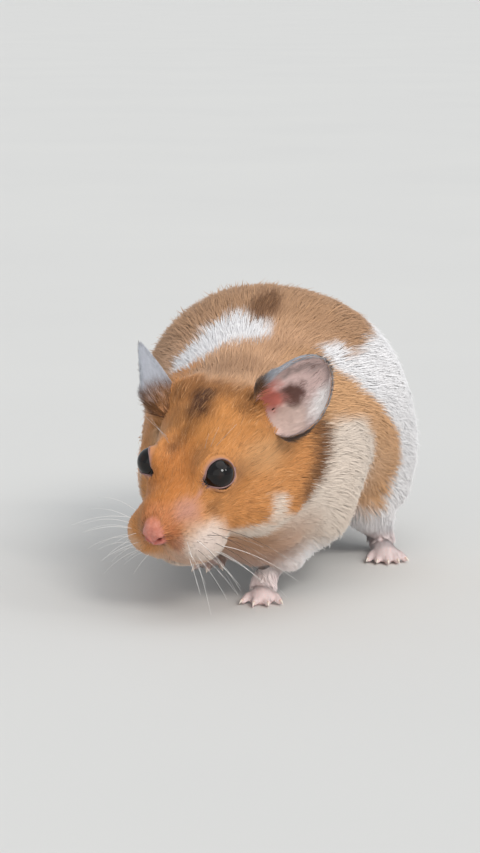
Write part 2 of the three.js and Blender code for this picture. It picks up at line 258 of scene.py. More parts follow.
def activate(*objects: bpy.types.Object) -> None:
    """Selects these objects only.

    Args:
        *objects: The objects, of which the first becomes the active one.
    """
    bpy.ops.object.select_all(action="DESELECT")
    for obj in objects:
        obj.select_set(True)
    bpy.context.view_layer.objects.active = objects[0]


def modify(obj: bpy.types.Object, kind: str, **settings: Any) -> None:
    """Adds a modifier and applies it.

    Args:
        obj: The object.
        kind: The modifier's type.
        **settings: Its properties.
    """
    activate(obj)
    modifier = obj.modifiers.new(kind.title(), kind)
    for name, value in settings.items():
        setattr(modifier, name, value)
    bpy.ops.object.modifier_apply(modifier=modifier.name)


def edit_all(obj: bpy.types.Object, work: Callable[..., Any], **settings: Any) -> None:
    """Runs an edit operator on the whole mesh of an object.

    Args:
        obj: The object.
        work: The operator.
        **settings: Its settings.
    """
    activate(obj)
    bpy.ops.object.mode_set(mode="EDIT")
    bpy.ops.mesh.select_all(action="SELECT")
    work(**settings)
    bpy.ops.object.mode_set(mode="OBJECT")


def values_of(items: Any, name: str, width: int, kind: type = np.float32) -> np.ndarray:
    """Reads a property of all items of a collection.

    Args:
        items: The collection, such as the vertices of a mesh.
        name: The property.
        width: How many numbers it has.
        kind: The kind of its numbers.

    Returns:
        One row for each item.
    """
    values = np.empty(len(items) * width, kind)
    items.foreach_get(name, values)
    return values.reshape(-1, width)


def points_of(mesh: bpy.types.Mesh) -> np.ndarray:
    """The places of a mesh's vertices, one row each."""
    return values_of(mesh.vertices, "co", 3).astype(float)


def move_points(mesh: bpy.types.Mesh, points: np.ndarray) -> None:
    """Moves a mesh's vertices to new places."""
    mesh.vertices.foreach_set("co", points.astype(np.float32).ravel())
    mesh.update()


def normals_of(mesh: bpy.types.Mesh) -> np.ndarray:
    """The normals of a mesh's vertices, one row each."""
    return values_of(mesh.vertex_normals, "vector", 3).astype(float)


def triangles_of(mesh: bpy.types.Mesh) -> np.ndarray:
    """The three vertices of each triangle of a mesh."""
    mesh.calc_loop_triangles()
    return values_of(mesh.loop_triangles, "vertices", 3, np.int32)


def write_attribute(mesh: bpy.types.Mesh, name: str, vectors: np.ndarray) -> None:
    """Writes a vector on each vertex under a name."""
    layer = mesh.attributes.get(name) or mesh.attributes.new(name, "FLOAT_VECTOR", "POINT")
    layer.data.foreach_set("vector", vectors.astype(np.float32).ravel())


def read_attribute(mesh: bpy.types.Mesh, name: str) -> np.ndarray:
    """Reads the vector of each vertex back."""
    return values_of(mesh.attributes[name].data, "vector", 3).astype(float)


def object_from(name: str, points: np.ndarray, triangles: np.ndarray) -> bpy.types.Object:
    """Makes an object of triangles.

    Args:
        name: The name of the object.
        points: Its vertices in the row frame.
        triangles: Three vertices for each face.

    Returns:
        The object, smooth shaded and linked to the scene.
    """
    mesh = bpy.data.meshes.new(name)
    mesh.vertices.add(len(points))
    mesh.vertices.foreach_set("co", points.astype(np.float32).ravel())
    mesh.loops.add(triangles.size)
    mesh.loops.foreach_set("vertex_index", triangles.astype(np.int32).ravel())
    mesh.polygons.add(len(triangles))
    mesh.polygons.foreach_set("loop_start", np.arange(0, triangles.size, 3, dtype=np.int32))
    mesh.polygons.foreach_set("use_smooth", np.ones(len(triangles), bool))
    mesh.update(calc_edges=True)
    obj = bpy.data.objects.new(name, mesh)
    bpy.context.scene.collection.objects.link(obj)
    return obj


def ring_rows(rows: int, sides: int) -> tuple[np.ndarray, np.ndarray]:
    """Numbers the points of rows that each go round.

    Args:
        rows: How many rows there are.
        sides: How many points a row has.

    Returns:
        The number of each point, and that of its neighbour in the row.
    """
    first = np.arange(rows)[:, None] * sides
    place = np.arange(sides)[None]
    return (first + place).ravel(), (first + (place + 1) % sides).ravel()


def tube(line: np.ndarray, radii: np.ndarray, sides: int,
         closed: bool = False) -> tuple[np.ndarray, np.ndarray]:
    """A closed tube along a line.

    Args:
        line: The points of its middle.
        radii: Its radius at each point.
        sides: How many sides it has.
        closed: Whether it is a ring. Otherwise its two ends are capped by a point.

    Returns:
        Its vertices and its triangles.
    """
    count = len(line)
    ahead = np.roll(line, -1, axis=0) - np.roll(line, 1, axis=0) if closed else np.gradient(line, axis=0)
    ahead = unit(ahead)
    middle = line.mean(axis=0)
    guide = line - middle if closed else np.tile(np.cross(ahead[0], [0.3, 0.2, 0.9]), (count, 1))
    across = unit(guide - (guide * ahead).sum(1, keepdims=True) * ahead)
    above = np.cross(ahead, across)
    turn = np.arange(sides) * 2.0 * math.pi / sides
    ring = across[:, None] * np.cos(turn)[None, :, None] + above[:, None] * np.sin(turn)[None, :, None]
    points = (line[:, None] + ring * radii[:, None, None]).reshape(-1, 3)
    a, b = ring_rows(count if closed else count - 1, sides)
    c, d = (a + sides) % len(points), (b + sides) % len(points)
    faces = [np.stack([a, b, d], 1), np.stack([a, d, c], 1)]
    if not closed:
        start, end = len(points), len(points) + 1
        points = np.vstack([points, line[0], line[-1]])
        first = np.arange(sides)
        last = first + (count - 1) * sides
        faces.append(np.stack([np.full(sides, start), (first + 1) % sides, first], 1))
        faces.append(np.stack([np.full(sides, end), last, np.roll(last, -1)], 1))
    return points, np.vstack(faces)


def tubes(name: str, rods: Sequence[tuple[np.ndarray, np.ndarray, float]], sides: int) -> bpy.types.Object:
    """Makes one object of many tubes.

    Args:
        name: The name of the object.
        rods: The line, the radii and the tone of each tube.
        sides: How many sides each has.

    Returns:
        The object, with (share along the tube, tone, 0) in the attribute strand.
    """
    points, faces, strands = [], [], []
    base = 0
    for line, radii, tone in rods:
        shape, triangles = tube(line, radii, sides)
        along = np.append(np.repeat(np.linspace(0.0, 1.0, len(line)), sides), [0.0, 1.0])
        points.append(shape)
        faces.append(triangles + base)
        strands.append(np.stack([along, np.full(len(along), tone), along * 0], 1))
        base += len(shape)
    made = object_from(name, np.vstack(points), np.vstack(faces))
    write_attribute(made.data, "strand", np.vstack(strands))
    return made


class Graph:
    """The edges of a mesh, for averaging values over neighbours."""

    def __init__(self, mesh: bpy.types.Mesh) -> None:
        """Reads the edges of a mesh.

        Args:
            mesh: The mesh.
        """
        first, second = values_of(mesh.edges, "vertices", 2, np.int32).T
        self.start = np.concatenate([first, second])
        self.end = np.concatenate([second, first])
        self.size = len(mesh.vertices)
        self.degree = np.maximum(np.bincount(self.start, minlength=self.size), 1)

    def mean(self, values: np.ndarray) -> np.ndarray:
        """Averages over neighbours.

        Args:
            values: One value or vector for each vertex.

        Returns:
            The mean of each vertex's neighbours.
        """
        if values.ndim == 1:
            return np.bincount(self.start, values[self.end], self.size) / self.degree
        return np.stack([self.mean(column) for column in values.T], axis=1)

    def relax(self, values: np.ndarray, times: int, share: float | np.ndarray = 0.5) -> np.ndarray:
        """Values drawn towards their neighbours' mean.

        Args:
            values: One value or vector for each vertex.
            times: How many times.
            share: How far each time.

        Returns:
            The smoothed values.
        """
        for _ in range(times):
            values = values + share * (self.mean(values) - values)
        return values

    def fair(self, points: np.ndarray, times: int) -> np.ndarray:
        """Smooths points without shrinking their shape: each step in is followed by a step out.

        Args:
            points: The vertices.
            times: How many times.

        Returns:
            The smoothed vertices.
        """
        for _ in range(times):
            points = self.relax(points, 1, 0.55)
            points = self.relax(points, 1, -0.57)
        return points


# ---------------------------------------------------------------- shader maths


class Shade:
    """A socket that takes part in arithmetic. Each operator adds one Math node."""

    def __init__(self, maker: "Paint", socket: Any) -> None:
        """Wraps a socket.

        Args:
            maker: The material that the socket is in.
            socket: The output socket.
        """
        self.maker = maker
        self.socket = socket

    def math(self, operation: str, *values: Any, clamp: bool = False) -> "Shade":
        """One Math node.

        Args:
            operation: The node's operation.
            *values: Its inputs, sockets or numbers.
            clamp: Whether the result is kept from 0 to 1.

        Returns:
            Its result.
        """
        inputs = dict(enumerate(values))
        return self.maker.node("ShaderNodeMath", {"operation": operation, "use_clamp": clamp}, inputs)

    def __add__(self, other: Any) -> "Shade":
        """self + other."""
        return self.math("ADD", self, other)

    __radd__ = __add__

    def __sub__(self, other: Any) -> "Shade":
        """self - other."""
        return self.math("SUBTRACT", self, other)

    def __rsub__(self, other: Any) -> "Shade":
        """other - self."""
        return self.math("SUBTRACT", other, self)

    def __mul__(self, other: Any) -> "Shade":
        """self * other."""
        return self.math("MULTIPLY", self, other)

    __rmul__ = __mul__

    def step(self, low: float, high: float) -> "Shade":
        """A smooth step from 0 at low to 1 at high."""
        settings = {"interpolation_type": "SMOOTHSTEP"}
        return self.maker.node("ShaderNodeMapRange", settings, {0: self, 1: low, 2: high})

    def clip(self) -> "Shade":
        """The value kept from 0 to 1."""
        return self.math("ADD", self, 0.0, clamp=True)


class Paint:
    """Builds one material from nodes."""

    def __init__(self, name: str) -> None:
        """Starts a material.

        Args:
            name: Its name.
        """
        self.material = bpy.data.materials.new(name)
        self.material.use_nodes = True
        self.tree = self.material.node_tree
        self.surface = self.tree.nodes["Principled BSDF"]

    def node(self, kind: str, settings: dict[str, Any], inputs: dict[Any, Any], output: Any = 0) -> Shade:
        """Adds a node.

        Args:
            kind: The node's type.
            settings: Its properties, which are set first.
            inputs: The value or the link of each socket, by name or number.
            output: The socket that is given back.

        Returns:
            The output socket, wrapped.
        """
        made = self.tree.nodes.new(kind)
        for name, value in settings.items():
            setattr(made, name, value)
        for name, value in inputs.items():
            self.feed(made.inputs[name], value)
        return Shade(self, made.outputs[output])

    def feed(self, socket: Any, value: Any) -> None:
        """Sets or links a socket.

        Args:
            socket: The input socket.
            value: A value, a link, or None to leave it as it is.
        """
        if isinstance(value, Shade):
            self.tree.links.new(value.socket, socket)
        elif value is not None:
            socket.default_value = value

    def finish(self, **inputs: Any) -> bpy.types.Material:
        """Sets the sockets of the surface.

        Args:
            **inputs: Values or links, named as the sockets, with _ for a space.

        Returns:
            The material.
        """
        for name, value in inputs.items():
            self.feed(self.surface.inputs[name.replace("_", " ")], value)
        return self.material

    def attribute(self, name: str) -> Shade:
        """The vector written on the mesh under a name."""
        settings = {"attribute_type": "GEOMETRY", "attribute_name": name}
        return self.node("ShaderNodeAttribute", settings, {}, "Vector")

    def split(self, vector: Shade) -> tuple[Shade, Shade, Shade]:
        """Takes a vector apart.

        Args:
            vector: The vector.

        Returns:
            Its three numbers.
        """
        first = self.node("ShaderNodeSeparateXYZ", {}, {0: vector})
        outputs = first.socket.node.outputs
        return first, Shade(self, outputs[1]), Shade(self, outputs[2])

    def vector(self, operation: str, *values: Any, output: Any = 0) -> Shade:
        """One Vector Math node."""
        return self.node("ShaderNodeVectorMath", {"operation": operation}, dict(enumerate(values)), output)

    def here(self) -> Shade:
        """The place in the row frame."""
        return self.node("ShaderNodeTexCoord", {}, {}, "Object")

    def placed(self, vector: Shade, centre: Sequence[float], scale: Sequence[float],
               turn: Sequence[float] = (0, 0, 0)) -> Shade:
        """A vector in the frame of a place.

        Args:
            vector: The vector.
            centre: The origin of the frame.
            scale: The length of each of its axes.
            turn: How it is turned, in radians.

        Returns:
            The vector in that frame.
        """
        inputs = {"Vector": vector, "Location": centre, "Rotation": turn, "Scale": scale}
        return self.node("ShaderNodeMapping", {"vector_type": "TEXTURE"}, inputs)

    def blob(self, place: Shade, centre: Sequence[float], half: Sequence[float], soft: float = 0.3,
             turn: Sequence[float] = (0, 0, 0)) -> Shade:
        """A patch that is 1 inside an ellipsoid and fades to 0 at its edge.

        Args:
            place: Where the surface is.
            centre: The centre of the ellipsoid.
            half: Its half sizes.
            soft: The share of its size over which the edge fades.
            turn: How it is turned, in radians.

        Returns:
            The mask.
        """
        out = self.vector("LENGTH", self.placed(place, centre, half, turn), output="Value")
        return out.step(1.0 + soft, 1.0 - soft)

    def stroke(self, place: Shade, line: Sequence[Sequence[float]], half: float, soft: float) -> Shade:
        """A mark that is 1 along a line and fades to 0 beside it.

        Args:
            place: Where the surface is.
            line: The corners of the line.
            half: Half the width of the mark.
            soft: How far out its edge fades.

        Returns:
            The mask.
        """
        nearest = None
        for start, end in zip(line[:-1], line[1:]):
            way = np.array(end) - np.array(start)
            off = self.vector("SUBTRACT", place, tuple(start))
            share = self.vector("DOT_PRODUCT", off, tuple(way / (way @ way)), output="Value").clip()
            foot = self.node("ShaderNodeVectorMath", {"operation": "SCALE"}, {0: tuple(way), "Scale": share})
            gap = self.vector("LENGTH", self.vector("SUBTRACT", off, foot), output="Value")
            nearest = gap if nearest is None else gap.math("MINIMUM", nearest, gap)
        return nearest.step(half + soft, half - soft)

    def union(self, *masks: Shade) -> Shade:
        """Joins masks.

        Args:
            *masks: The masks.

        Returns:
            The largest of them at each place.
        """
        whole = masks[0]
        for mask in masks[1:]:
            whole = whole.math("MAXIMUM", whole, mask)
        return whole

    def blobs(self, *rows: tuple) -> Shade:
        """The union of patches, each given as a place, a centre, half sizes, softness and strength."""
        return self.union(*(self.blob(*row[:4]) * row[4] for row in rows))

    def daub(self, colour: Any, *rows: tuple) -> Shade:
        """Paints patches one after another.

        Args:
            colour: The colour under them.
            *rows: The place, centre, half sizes, softness, strength and colour of each patch.

        Returns:
            The painted colour.
        """
        for *patch, shade in rows:
            colour = self.mix(self.blobs(patch), colour, shade)
        return colour

    def noise(self, place: Shade, scale: float, detail: float = 2.0, output: Any = 0) -> Shade:
        """A Noise texture, from 0 to 1, whose scale is in waves to a unit of the place."""
        inputs = {"Vector": place, "Scale": scale, "Detail": detail}
        return self.node("ShaderNodeTexNoise", {}, inputs, output)

    def mix(self, share: Any, first: Any, second: Any) -> Shade:
        """A mix of two colours.

        Args:
            share: How much of the second colour.
            first: The first colour.
            second: The second colour.

        Returns:
            The mixed colour.
        """
        settings = {"data_type": "RGBA", "blend_type": "MIX", "clamp_factor": True}
        return self.node("ShaderNodeMix", settings, {0: share, 6: first, 7: second}, 2)

    def lit(self, colour: Shade, value: Shade) -> Shade:
        """A colour made lighter or darker by a factor."""
        inputs = {"Saturation": 1.0, "Hue": 0.5, "Fac": 1.0, "Value": value, "Color": colour}
        return self.node("ShaderNodeHueSaturation", {}, inputs)


def paint(red: float, green: float, blue: float) -> tuple[float, float, float, float]:
    """A screen colour from 0 to 255 as the linear colour that a shader takes."""
    linear = [
        c / 12.92 if c <= 0.04045 else ((c + 0.055) / 1.055) ** 2.4
        for c in (v / 255.0 for v in (red, green, blue))
    ]
    return (*linear, 1.0)


# ---------------------------------------------------------------- finishes


@dataclass(frozen=True)
class Palette:
    """The colours of the animal."""

    gold: tuple = paint(213, 145, 84)
    gold_forehead: tuple = paint(206, 138, 74)
    gold_deep: tuple = paint(198, 118, 52)
    gold_light: tuple = paint(230, 176, 124)
    brown: tuple = paint(66, 32, 12)
    umber: tuple = paint(114, 76, 46)
    cream: tuple = paint(232, 215, 199)
    white: tuple = paint(245, 242, 242)
    pad: tuple = paint(242, 222, 210)
    tan: tuple = paint(220, 169, 122)
    tan_rump: tuple = paint(183, 141, 106)
    tan_nape: tuple = paint(213, 167, 130)
    throat: tuple = paint(206, 158, 126)
    russet: tuple = paint(176, 98, 68)
    peach: tuple = paint(214, 134, 90)
    lilac: tuple = paint(206, 160, 158)
    nose: tuple = paint(190, 116, 98)
    nose_pale: tuple = paint(214, 150, 134)
    rose: tuple = paint(186, 92, 84)
    # the nostrils' own dark red, also used as painted shade in the folds of cleft and lips
    nostril: tuple = paint(132, 44, 38)
    lid: tuple = paint(146, 112, 108)
    lip: tuple = paint(186, 120, 100)
    foot: tuple = paint(248, 218, 214)
    ear_flesh: tuple = paint(214, 124, 110)
    ear_mauve: tuple = paint(226, 196, 190)
    ear_pale: tuple = paint(232, 204, 192)
    ear_white: tuple = paint(250, 244, 242)
    ear_dark: tuple = paint(84, 40, 26)
    ear_grey: tuple = paint(186, 188, 196)
    ear_rim: tuple = paint(92, 84, 82)
    # painted shade in the eye sockets behind the eyeballs
    black: tuple = paint(14, 12, 12)


@dataclass(frozen=True)
class CoatFinish:
    """The finish of skin and coat, which share one set of markings.

    It reads vectors written on each mesh: place, where on the body a tuft shows; strand, which is
    (share along the tuft, its tone, its ticking), whose share along also paints shade at the roots; and leaf,
    which is (across, along, side) on the ears and 0 elsewhere. On the skin it also reads bare, which is
    (nose, lid, lip), and flesh, which is (depth in a fold, foot, dent behind an ear); folds get painted
    shade.
    """

    palette: Palette = Palette()
    roughness: float = 0.62
    sheen: float = 0.22

    def build(self, body: Body, name: str, bare: bool) -> bpy.types.Material:
        """Builds the material.

        Args:
            body: The frames of the animal.
            name: The material's name.
            bare: Whether it is for skin, where feet, nose, lids and lips show their own colour.

        Returns:
            The material.
        """
        p = Paint(name)
        c = self.palette
        place = p.attribute("place")
        along, tone, ticking = p.split(p.attribute("strand"))
        turned = Matrix((body.axes * np.array([1.0, -1.0, 1.0])).tolist()).to_euler("XYZ")
        head = p.placed(place, tuple(body.head_origin), (MM, -MM, MM), tuple(turned))
        trunk = p.placed(place, tuple(body.trunk_origin), (MM, MM, MM))
        drift = p.vector("SUBTRACT", p.noise(trunk, 0.3, 3.0, "Color"), (0.5, 0.5, 0.5))
        head = p.vector("MULTIPLY_ADD", drift, (2.4, 2.4, 2.4), head)
        trunk = p.vector("MULTIPLY_ADD", drift, (4.0, 4.0, 4.0), trunk)
        twin = p.vector("ABSOLUTE", head)
        _, y, z = p.split(head)
        aside, _, _ = p.split(twin)
        twin = p.node("ShaderNodeCombineXYZ", {}, {0: aside, 1: y, 2: z})
        drop = (2.0 - z).math("MAXIMUM", 2.0 - z, 0.0)
        ahead = y - drop * drop * 0.12 + 19.4  # over 0 in front of the dark crescent, under 0 behind it
        on_head = ahead.step(-0.9, 0.9) * p.union(y.step(-15.0, -8.0), aside.step(11.0, 14.0))
        on_head = on_head * z.step(-15.0, -13.0)
        colour, gold = self.trunk_markings(p, trunk)
        face, face_gold = self.head_markings(p, head, twin)
        colour = p.mix(on_head, colour, face)
        gold = gold * (1.0 - on_head) + face_gold * on_head
        dark = self.crescent(p, twin)
        colour = p.mix(dark, colour, c.umber)
        colour = self.strands(p, colour, gold, along, tone, ticking)
        across, up_ear, ear_side = p.split(p.attribute("leaf"))
        ear = self.ear_markings(p, place, across, up_ear, ear_side, tone)
        colour = p.mix(ear_side.math("ABSOLUTE", ear_side).step(0.4, 0.6), colour, ear)
        roughness = self.roughness
        normal = None
        if bare:
            colour, roughness = self.bare_skin(p, colour, head)
            nose, _, _ = p.split(p.attribute("bare"))
            pebbles = p.node("ShaderNodeTexVoronoi", {}, {"Vector": place, "Scale": 3400.0})
            grain = p.noise(place, 3200.0, 3.0) * (1.0 - nose * 0.5) + pebbles * nose * 1.6
            normal = p.node("ShaderNodeBump", {}, {"Strength": 0.4, "Distance": 0.00014, "Height": grain})
        return p.finish(Base_Color=colour, Roughness=roughness, Normal=normal, Specular_IOR_Level=0.28,
                        Sheen_Weight=self.sheen, Sheen_Roughness=0.45)

    def trunk_markings(self, p: Paint, trunk: Shade) -> tuple[Shade, Shade]:
        """The markings of neck, body, legs and tail.

        Args:
            p: The material.
            trunk: The place in the frame of the trunk.

        Returns:
            The colour, and how golden the hair is.
        """
        c = self.palette
        x, y, z = p.split(trunk)
        slant = z + y * 0.83 + 2.9  # constant along the white band of the left flank
        left = x.step(6.0, 13.0)
        colour = p.mix(y.step(-16.0, -2.0), c.tan_nape, c.tan_rump)
        colour = p.mix(left * slant.step(44.0, 38.0), colour, c.tan)
        cream = p.blob(trunk, (19.0, -22.0, 23.0), (15.0, 16.5, 14.0), 0.14, (0.5, 0.0, 0.0))
        cream = p.union(cream, left * slant.step(14.0, 10.0) * y.step(4.0, -2.0))
        colour = p.mix(cream, colour, c.cream)
        below_back = (z - y * 0.2).step(51.2, 48.8) * x.step(12.5, 16.5)
        band = p.union(slant.step(35.4, 38.0), y.step(9.0, 12.5)) * below_back
        band = p.union(band, p.blob(trunk, (16.5, -10.0, 47.5), (5.0, 5.0, 4.6), 0.3))
        under = z.step(13.0, 8.0)
        stripe = p.stroke(trunk, [(-1.5, -12.5, 54.0), (-7.5, -13.5, 53.0), (-14.0, -17.5, 48.5)], 4.7, 1.5)
        stripe = p.union(stripe, p.stroke(trunk, [(-5.2, -8.9, 55.6), (-10.5, -11.8, 53.4)], 3.3, 1.7))
        white = p.union(band, stripe, under, p.blob(trunk, (0, -2, 6), (26, 46, 9), 0.3))
        colour = p.mix(white, colour, c.white)
        colour = p.daub(colour, (trunk, (2, -37, 13), (15, 10, 9), 0.5, 0.8, c.throat))
        colour = p.mix(z.step(6.5, 2.5) * 0.6, colour, c.foot)
        dark = p.blobs(
            (trunk, (0.2, -3.0, 58.8), (3.2, 8.0, 4.0), 0.5, 0.9),  # the spot on the back
            (trunk, (9.0, -17.0, 50.5), (9.0, 5.0, 4.0), 0.6, 0.3),  # the nape
            (trunk, (-2.0, -27.0, 49.0), (9.0, 4.0, 4.0), 0.6, 0.4),  # behind the ears
        )
        colour = p.mix(dark, colour, c.umber)
        gold = (1.0 - white) * (1.0 - cream) * 0.6
        return colour, gold

    def crescent(self, p: Paint, twin: Shade) -> Shade:
        """The dark crescent behind each cheek.

        Args:
            p: The material.
            twin: The place in the frame of the head, the same on both sides.

        Returns:
            How dark the place is.
        """
        line = [(15.6, -19.4, 2.2), (16.3, -18.6, 0.6), (17.6, -15.8, -2.8)]
        line += [(18.0, -11.8, -5.2), (17.8, -6.0, -7.6)]
        thin = p.stroke(twin, line[3:], 1.7, 1.7)
        wide = p.stroke(twin, line[:4], 2.3, 1.8)
        mottle = p.noise(twin, 0.7, 3.0).step(0.3, 0.6)
        return p.union(thin * 0.9, wide) * (0.75 + mottle * 0.25)

    def head_markings(self, p: Paint, head: Shade, twin: Shade) -> tuple[Shade, Shade]:
        """The markings of the head.

        Args:
            p: The material.
            head: The place in the frame of the head.
            twin: The same place, the same on both sides.

        Returns:
            The colour, and how golden the hair is.
        """
        c = self.palette
        x, _, z = p.split(head)
        colour = p.daub(
            c.gold,
            (head, (4, 2, 14), (12, 12, 7), 0.5, 1.0, c.gold_forehead),
            (twin, (12.5, -2, 4), (6, 6, 3.4), 0.7, 0.7, c.gold_light),
            (head, (-1.5, 15.0, 4.0), (7.0, 10.0, 8.0), 0.6, 0.7, c.gold_deep),  # the bridge of the nose
        )
        jaw = [(8.0, 19.5, -8.4), (9.6, 12.0, -10.8), (12.5, 7.0, -12.2), (16.5, 1.0, -11.4)]
        jaw = p.stroke(twin, jaw, 3.0, 1.2) * (0.35 + x.step(-6.0, 0.0) * 0.65)
        wedge = p.stroke(twin, [(16.0, 0.9, -5.4), (15.8, 2.4, -9.0)], 1.8, 1.4)
        behind = p.stroke(twin, [(16.5, -1.0, -13.5), (16.5, -9.0, -15.0)], 3.6, 1.2)
        lip = p.blob(head, (-5.0, 17.0, -13.5), (6.0, 6.5, 3.0), 0.4) * 0.5
        pad = p.blob(head, (8.4, 17.6, -7.3), (4.5, 4.3, 3.3), 0.9)
        white = p.union(z.step(-11.6, -13.8), pad, jaw, wedge, behind, lip)
        colour = p.mix(white, colour, c.cream)
        colour = p.mix(pad, colour, c.pad)
        colour = p.daub(
            colour,
            (head, (3.4, 18.8, -10.6), (4.5, 4.2, 2.6), 0.8, 0.5, c.pad),
            (head, (7.0, 4.0, -20.0), (14.0, 14.0, 5.5), 0.4, 0.7, c.throat),
        )
        streak = p.stroke(head, [(-3.0, -5.0, 13.6), (-1.4, 0.4, 12.9)], 3.0, 2.2)
        trail = p.stroke(head, [(-0.9, 0.0, 12.9), (-1.2, 4.5, 11.0), (-2.8, 8.4, 8.3)], 1.1, 1.9) * 0.75
        spots = p.blobs(
            (head, (-1.0, -8.5, 14.0), (9.0, 4.0, 6.0), 0.6, 0.55),  # the crown
            (head, (-4.4, 1.0, 12.4), (4.0, 5.0, 4.0), 0.6, 0.35),  # the right brow
            (head, (8.0, 13.0, -1.6), (2.2, 1.8, 1.8), 0.7, 0.5),  # in front of the left eye
            (twin, (8.2, -5.6, 13.4), (3.0, 3.4, 3.0), 0.5, 0.55),  # the roots of the ears
        )
        mottle = p.noise(head, 0.9, 3.0).step(0.34, 0.6)
        colour = p.mix(p.union(streak, trail, spots) * (0.7 + mottle * 0.3), colour, c.brown)
        colour = p.daub(
            colour,
            (head, (0.0, 21.6, -1.2), (4.2, 4.4, 3.4), 0.5, 0.7, c.peach),  # above the nose
            (twin, (3.4, 22.0, -5.4), (1.8, 2.6, 3.2), 0.5, 0.55, c.russet),  # beside it
        )
        bare = p.blob(head, (4.8, 17.8, -0.4), (2.4, 3.0, 2.4), 0.8) * 0.5
        thread = p.stroke(head, [(4.9, 16.4, 0.6), (5.9, 14.0, 2.3)], 0.3, 0.9) * 0.6
        bare = p.union(bare, thread)
        colour = p.mix(bare, colour, c.lilac)
        gold = (1.0 - white) * (1.0 - bare)
        return colour, gold

    def strands(self, p: Paint, colour: Shade, gold: Shade, along: Shade, tone: Shade,
                ticking: Shade) -> Shade:
        """Varies the colour from tuft to tuft, and paints shade along each one: darker at the root, lighter
        at the tip.

        Args:
            p: The material.
            colour: The colour of the marking.
            gold: How golden the hair is.
            along: The share along the tuft.
            tone: The tone of the tuft, from -1 to 1.
            ticking: From 0 to 1; the highest are the dark hairs.

        Returns:
            The colour of the hair.
        """
        c = self.palette
        dark = ticking.step(0.8, 0.98) * gold * 0.42
        colour = p.mix(dark, colour, c.umber)
        pale = ticking.step(0.16, 0.02) * gold * 0.4
        colour = p.mix(pale, colour, c.gold_light)
        # painted shade: 0.9 + along * 0.14 darkens each tuft towards its root and lightens it towards its tip
        return p.lit(colour, 0.9 + along * 0.14 + tone * (0.035 + gold * 0.075))

    def ear_markings(self, p: Paint, place: Shade, across: Shade, up: Shade, side: Shade,
                     tone: Shade) -> Shade:
        """The colours of the ears.

        Args:
            p: The material.
            place: The place in the row frame.
            across: From -1 at the front edge to 1 at the back edge.
            up: From 0 at the root to 1 at the tip.
            side: 1 on the inner face and -1 on the outer one.
            tone: The tone of the tuft, from -1 to 1.

        Returns:
            The colour.
        """
        c = self.palette
        leaf = p.node("ShaderNodeCombineXYZ", {}, {0: across, 1: up, 2: 0.0})
        drift = p.vector("SUBTRACT", p.noise(place, 420.0, 2.0, "Color"), (0.5, 0.5, 0.5))
        drift = p.vector("MULTIPLY", drift, (0.35, 0.22, 0.0))
        leaf = p.vector("ADD", leaf, drift)
        inner = p.daub(
            c.ear_mauve,
            (leaf, (-0.35, 0.1, 0), (0.55, 0.2, 1), 0.6, 1.0, c.ear_flesh),
            (leaf, (0.5, 0.2, 0), (0.5, 0.3, 1), 0.4, 0.9, c.ear_pale),
        )
        middle = p.blob(leaf, (-0.05, 0.4, 0), (0.32, 0.16, 1), 0.5) * 0.9
        behind = p.stroke(leaf, [(0.1, 0.45, 0.0), (0.45, 0.5, 0.0), (0.85, 0.42, 0.0)], 0.03, 0.14) * 0.5
        inner = p.mix(p.union(middle, behind), inner, c.ear_dark)
        inner = p.daub(inner, (leaf, (0.75, 0.7, 0), (0.4, 0.22, 1), 0.6, 1.0, c.ear_white))
        rim = [(-0.66, 0.45, 0.0), (-0.55, 0.75, 0.0), (-0.1, 0.95, 0.0), (0.5, 0.95, 0.0)]
        inner = p.mix(p.stroke(leaf, rim, 0.05, 0.15) * 0.75, inner, c.ear_rim)
        streaks = p.noise(p.vector("MULTIPLY", leaf, (9.0, 1.4, 1.0)), 3.0, 3.0).step(0.5, 0.68)
        inner = p.mix(streaks * up.step(0.45, 0.8) * 0.5, inner, c.ear_dark)
        streaked = p.noise(p.vector("MULTIPLY", leaf, (7.0, 1.0, 1.0)), 3.0, 2.0).step(0.45, 0.65)
        root = p.mix(streaked * up.step(0.45, 0.0) * 0.8, c.umber, c.gold)
        height = up + (streaked - 0.5) * 0.22 - across * 0.1
        outer = p.mix(height.step(0.12, 0.52), root, c.ear_grey)
        colour = p.mix(side.step(-0.2, 0.2), outer, inner)
        left = p.split(place)[0].step(-0.002, 0.002)
        colour = p.mix(across.step(-0.74, -0.84) * up.step(0.1, 0.25) * left, colour, c.ear_grey)
        edge = p.union(across.step(0.88, 1.0), up.step(0.95, 1.0))
        return p.lit(p.mix(edge * 0.6, colour, c.ear_rim), 1.0 + tone * 0.1)

    def bare_skin(self, p: Paint, colour: Shade, head: Shade) -> tuple[Shade, Shade]:
        """The places where the skin shows: nose, lips, lids and feet, with painted shade in the folds and the
        eye sockets.

        Args:
            p: The material.
            colour: The colour of the coat there.
            head: The place in the frame of the head.

        Returns:
            The colour and the roughness.
        """
        c = self.palette
        nose, lid, lip = p.split(p.attribute("bare"))
        deep, foot, _ = p.split(p.attribute("flesh"))
        _, _, z = p.split(head)
        pad = p.mix(z.step(0.5, -3.0), c.peach, c.nose)
        pad = p.mix(z.step(-3.0, -7.0) * 0.75, pad, c.rose)
        pad = p.mix(p.noise(head, 1.6, 4.0).step(0.35, 0.7) * 0.4, pad, c.nose_pale)
        frayed = p.noise(head, 2.4, 3.0) * 0.5
        colour = p.mix((nose + frayed - 0.25).step(0.1, 0.8), colour, pad)
        colour = p.mix(lip, colour, c.lip)
        colour = p.mix(lid.clip(), colour, c.lid)
        # painted shade: the skin in the sockets behind the eyes is painted black
        colour = p.mix(lid.step(SOCKET - 0.4, SOCKET - 0.1), colour, c.black)
        colour = p.mix(foot, colour, c.foot)
        # the nostrils' own dark red, and painted shade in the folds of nostrils, cleft and lips
        colour = p.mix(deep, colour, c.nostril)
        roughness = self.roughness - nose * 0.1 - lid.clip() * 0.36
        return colour, roughness


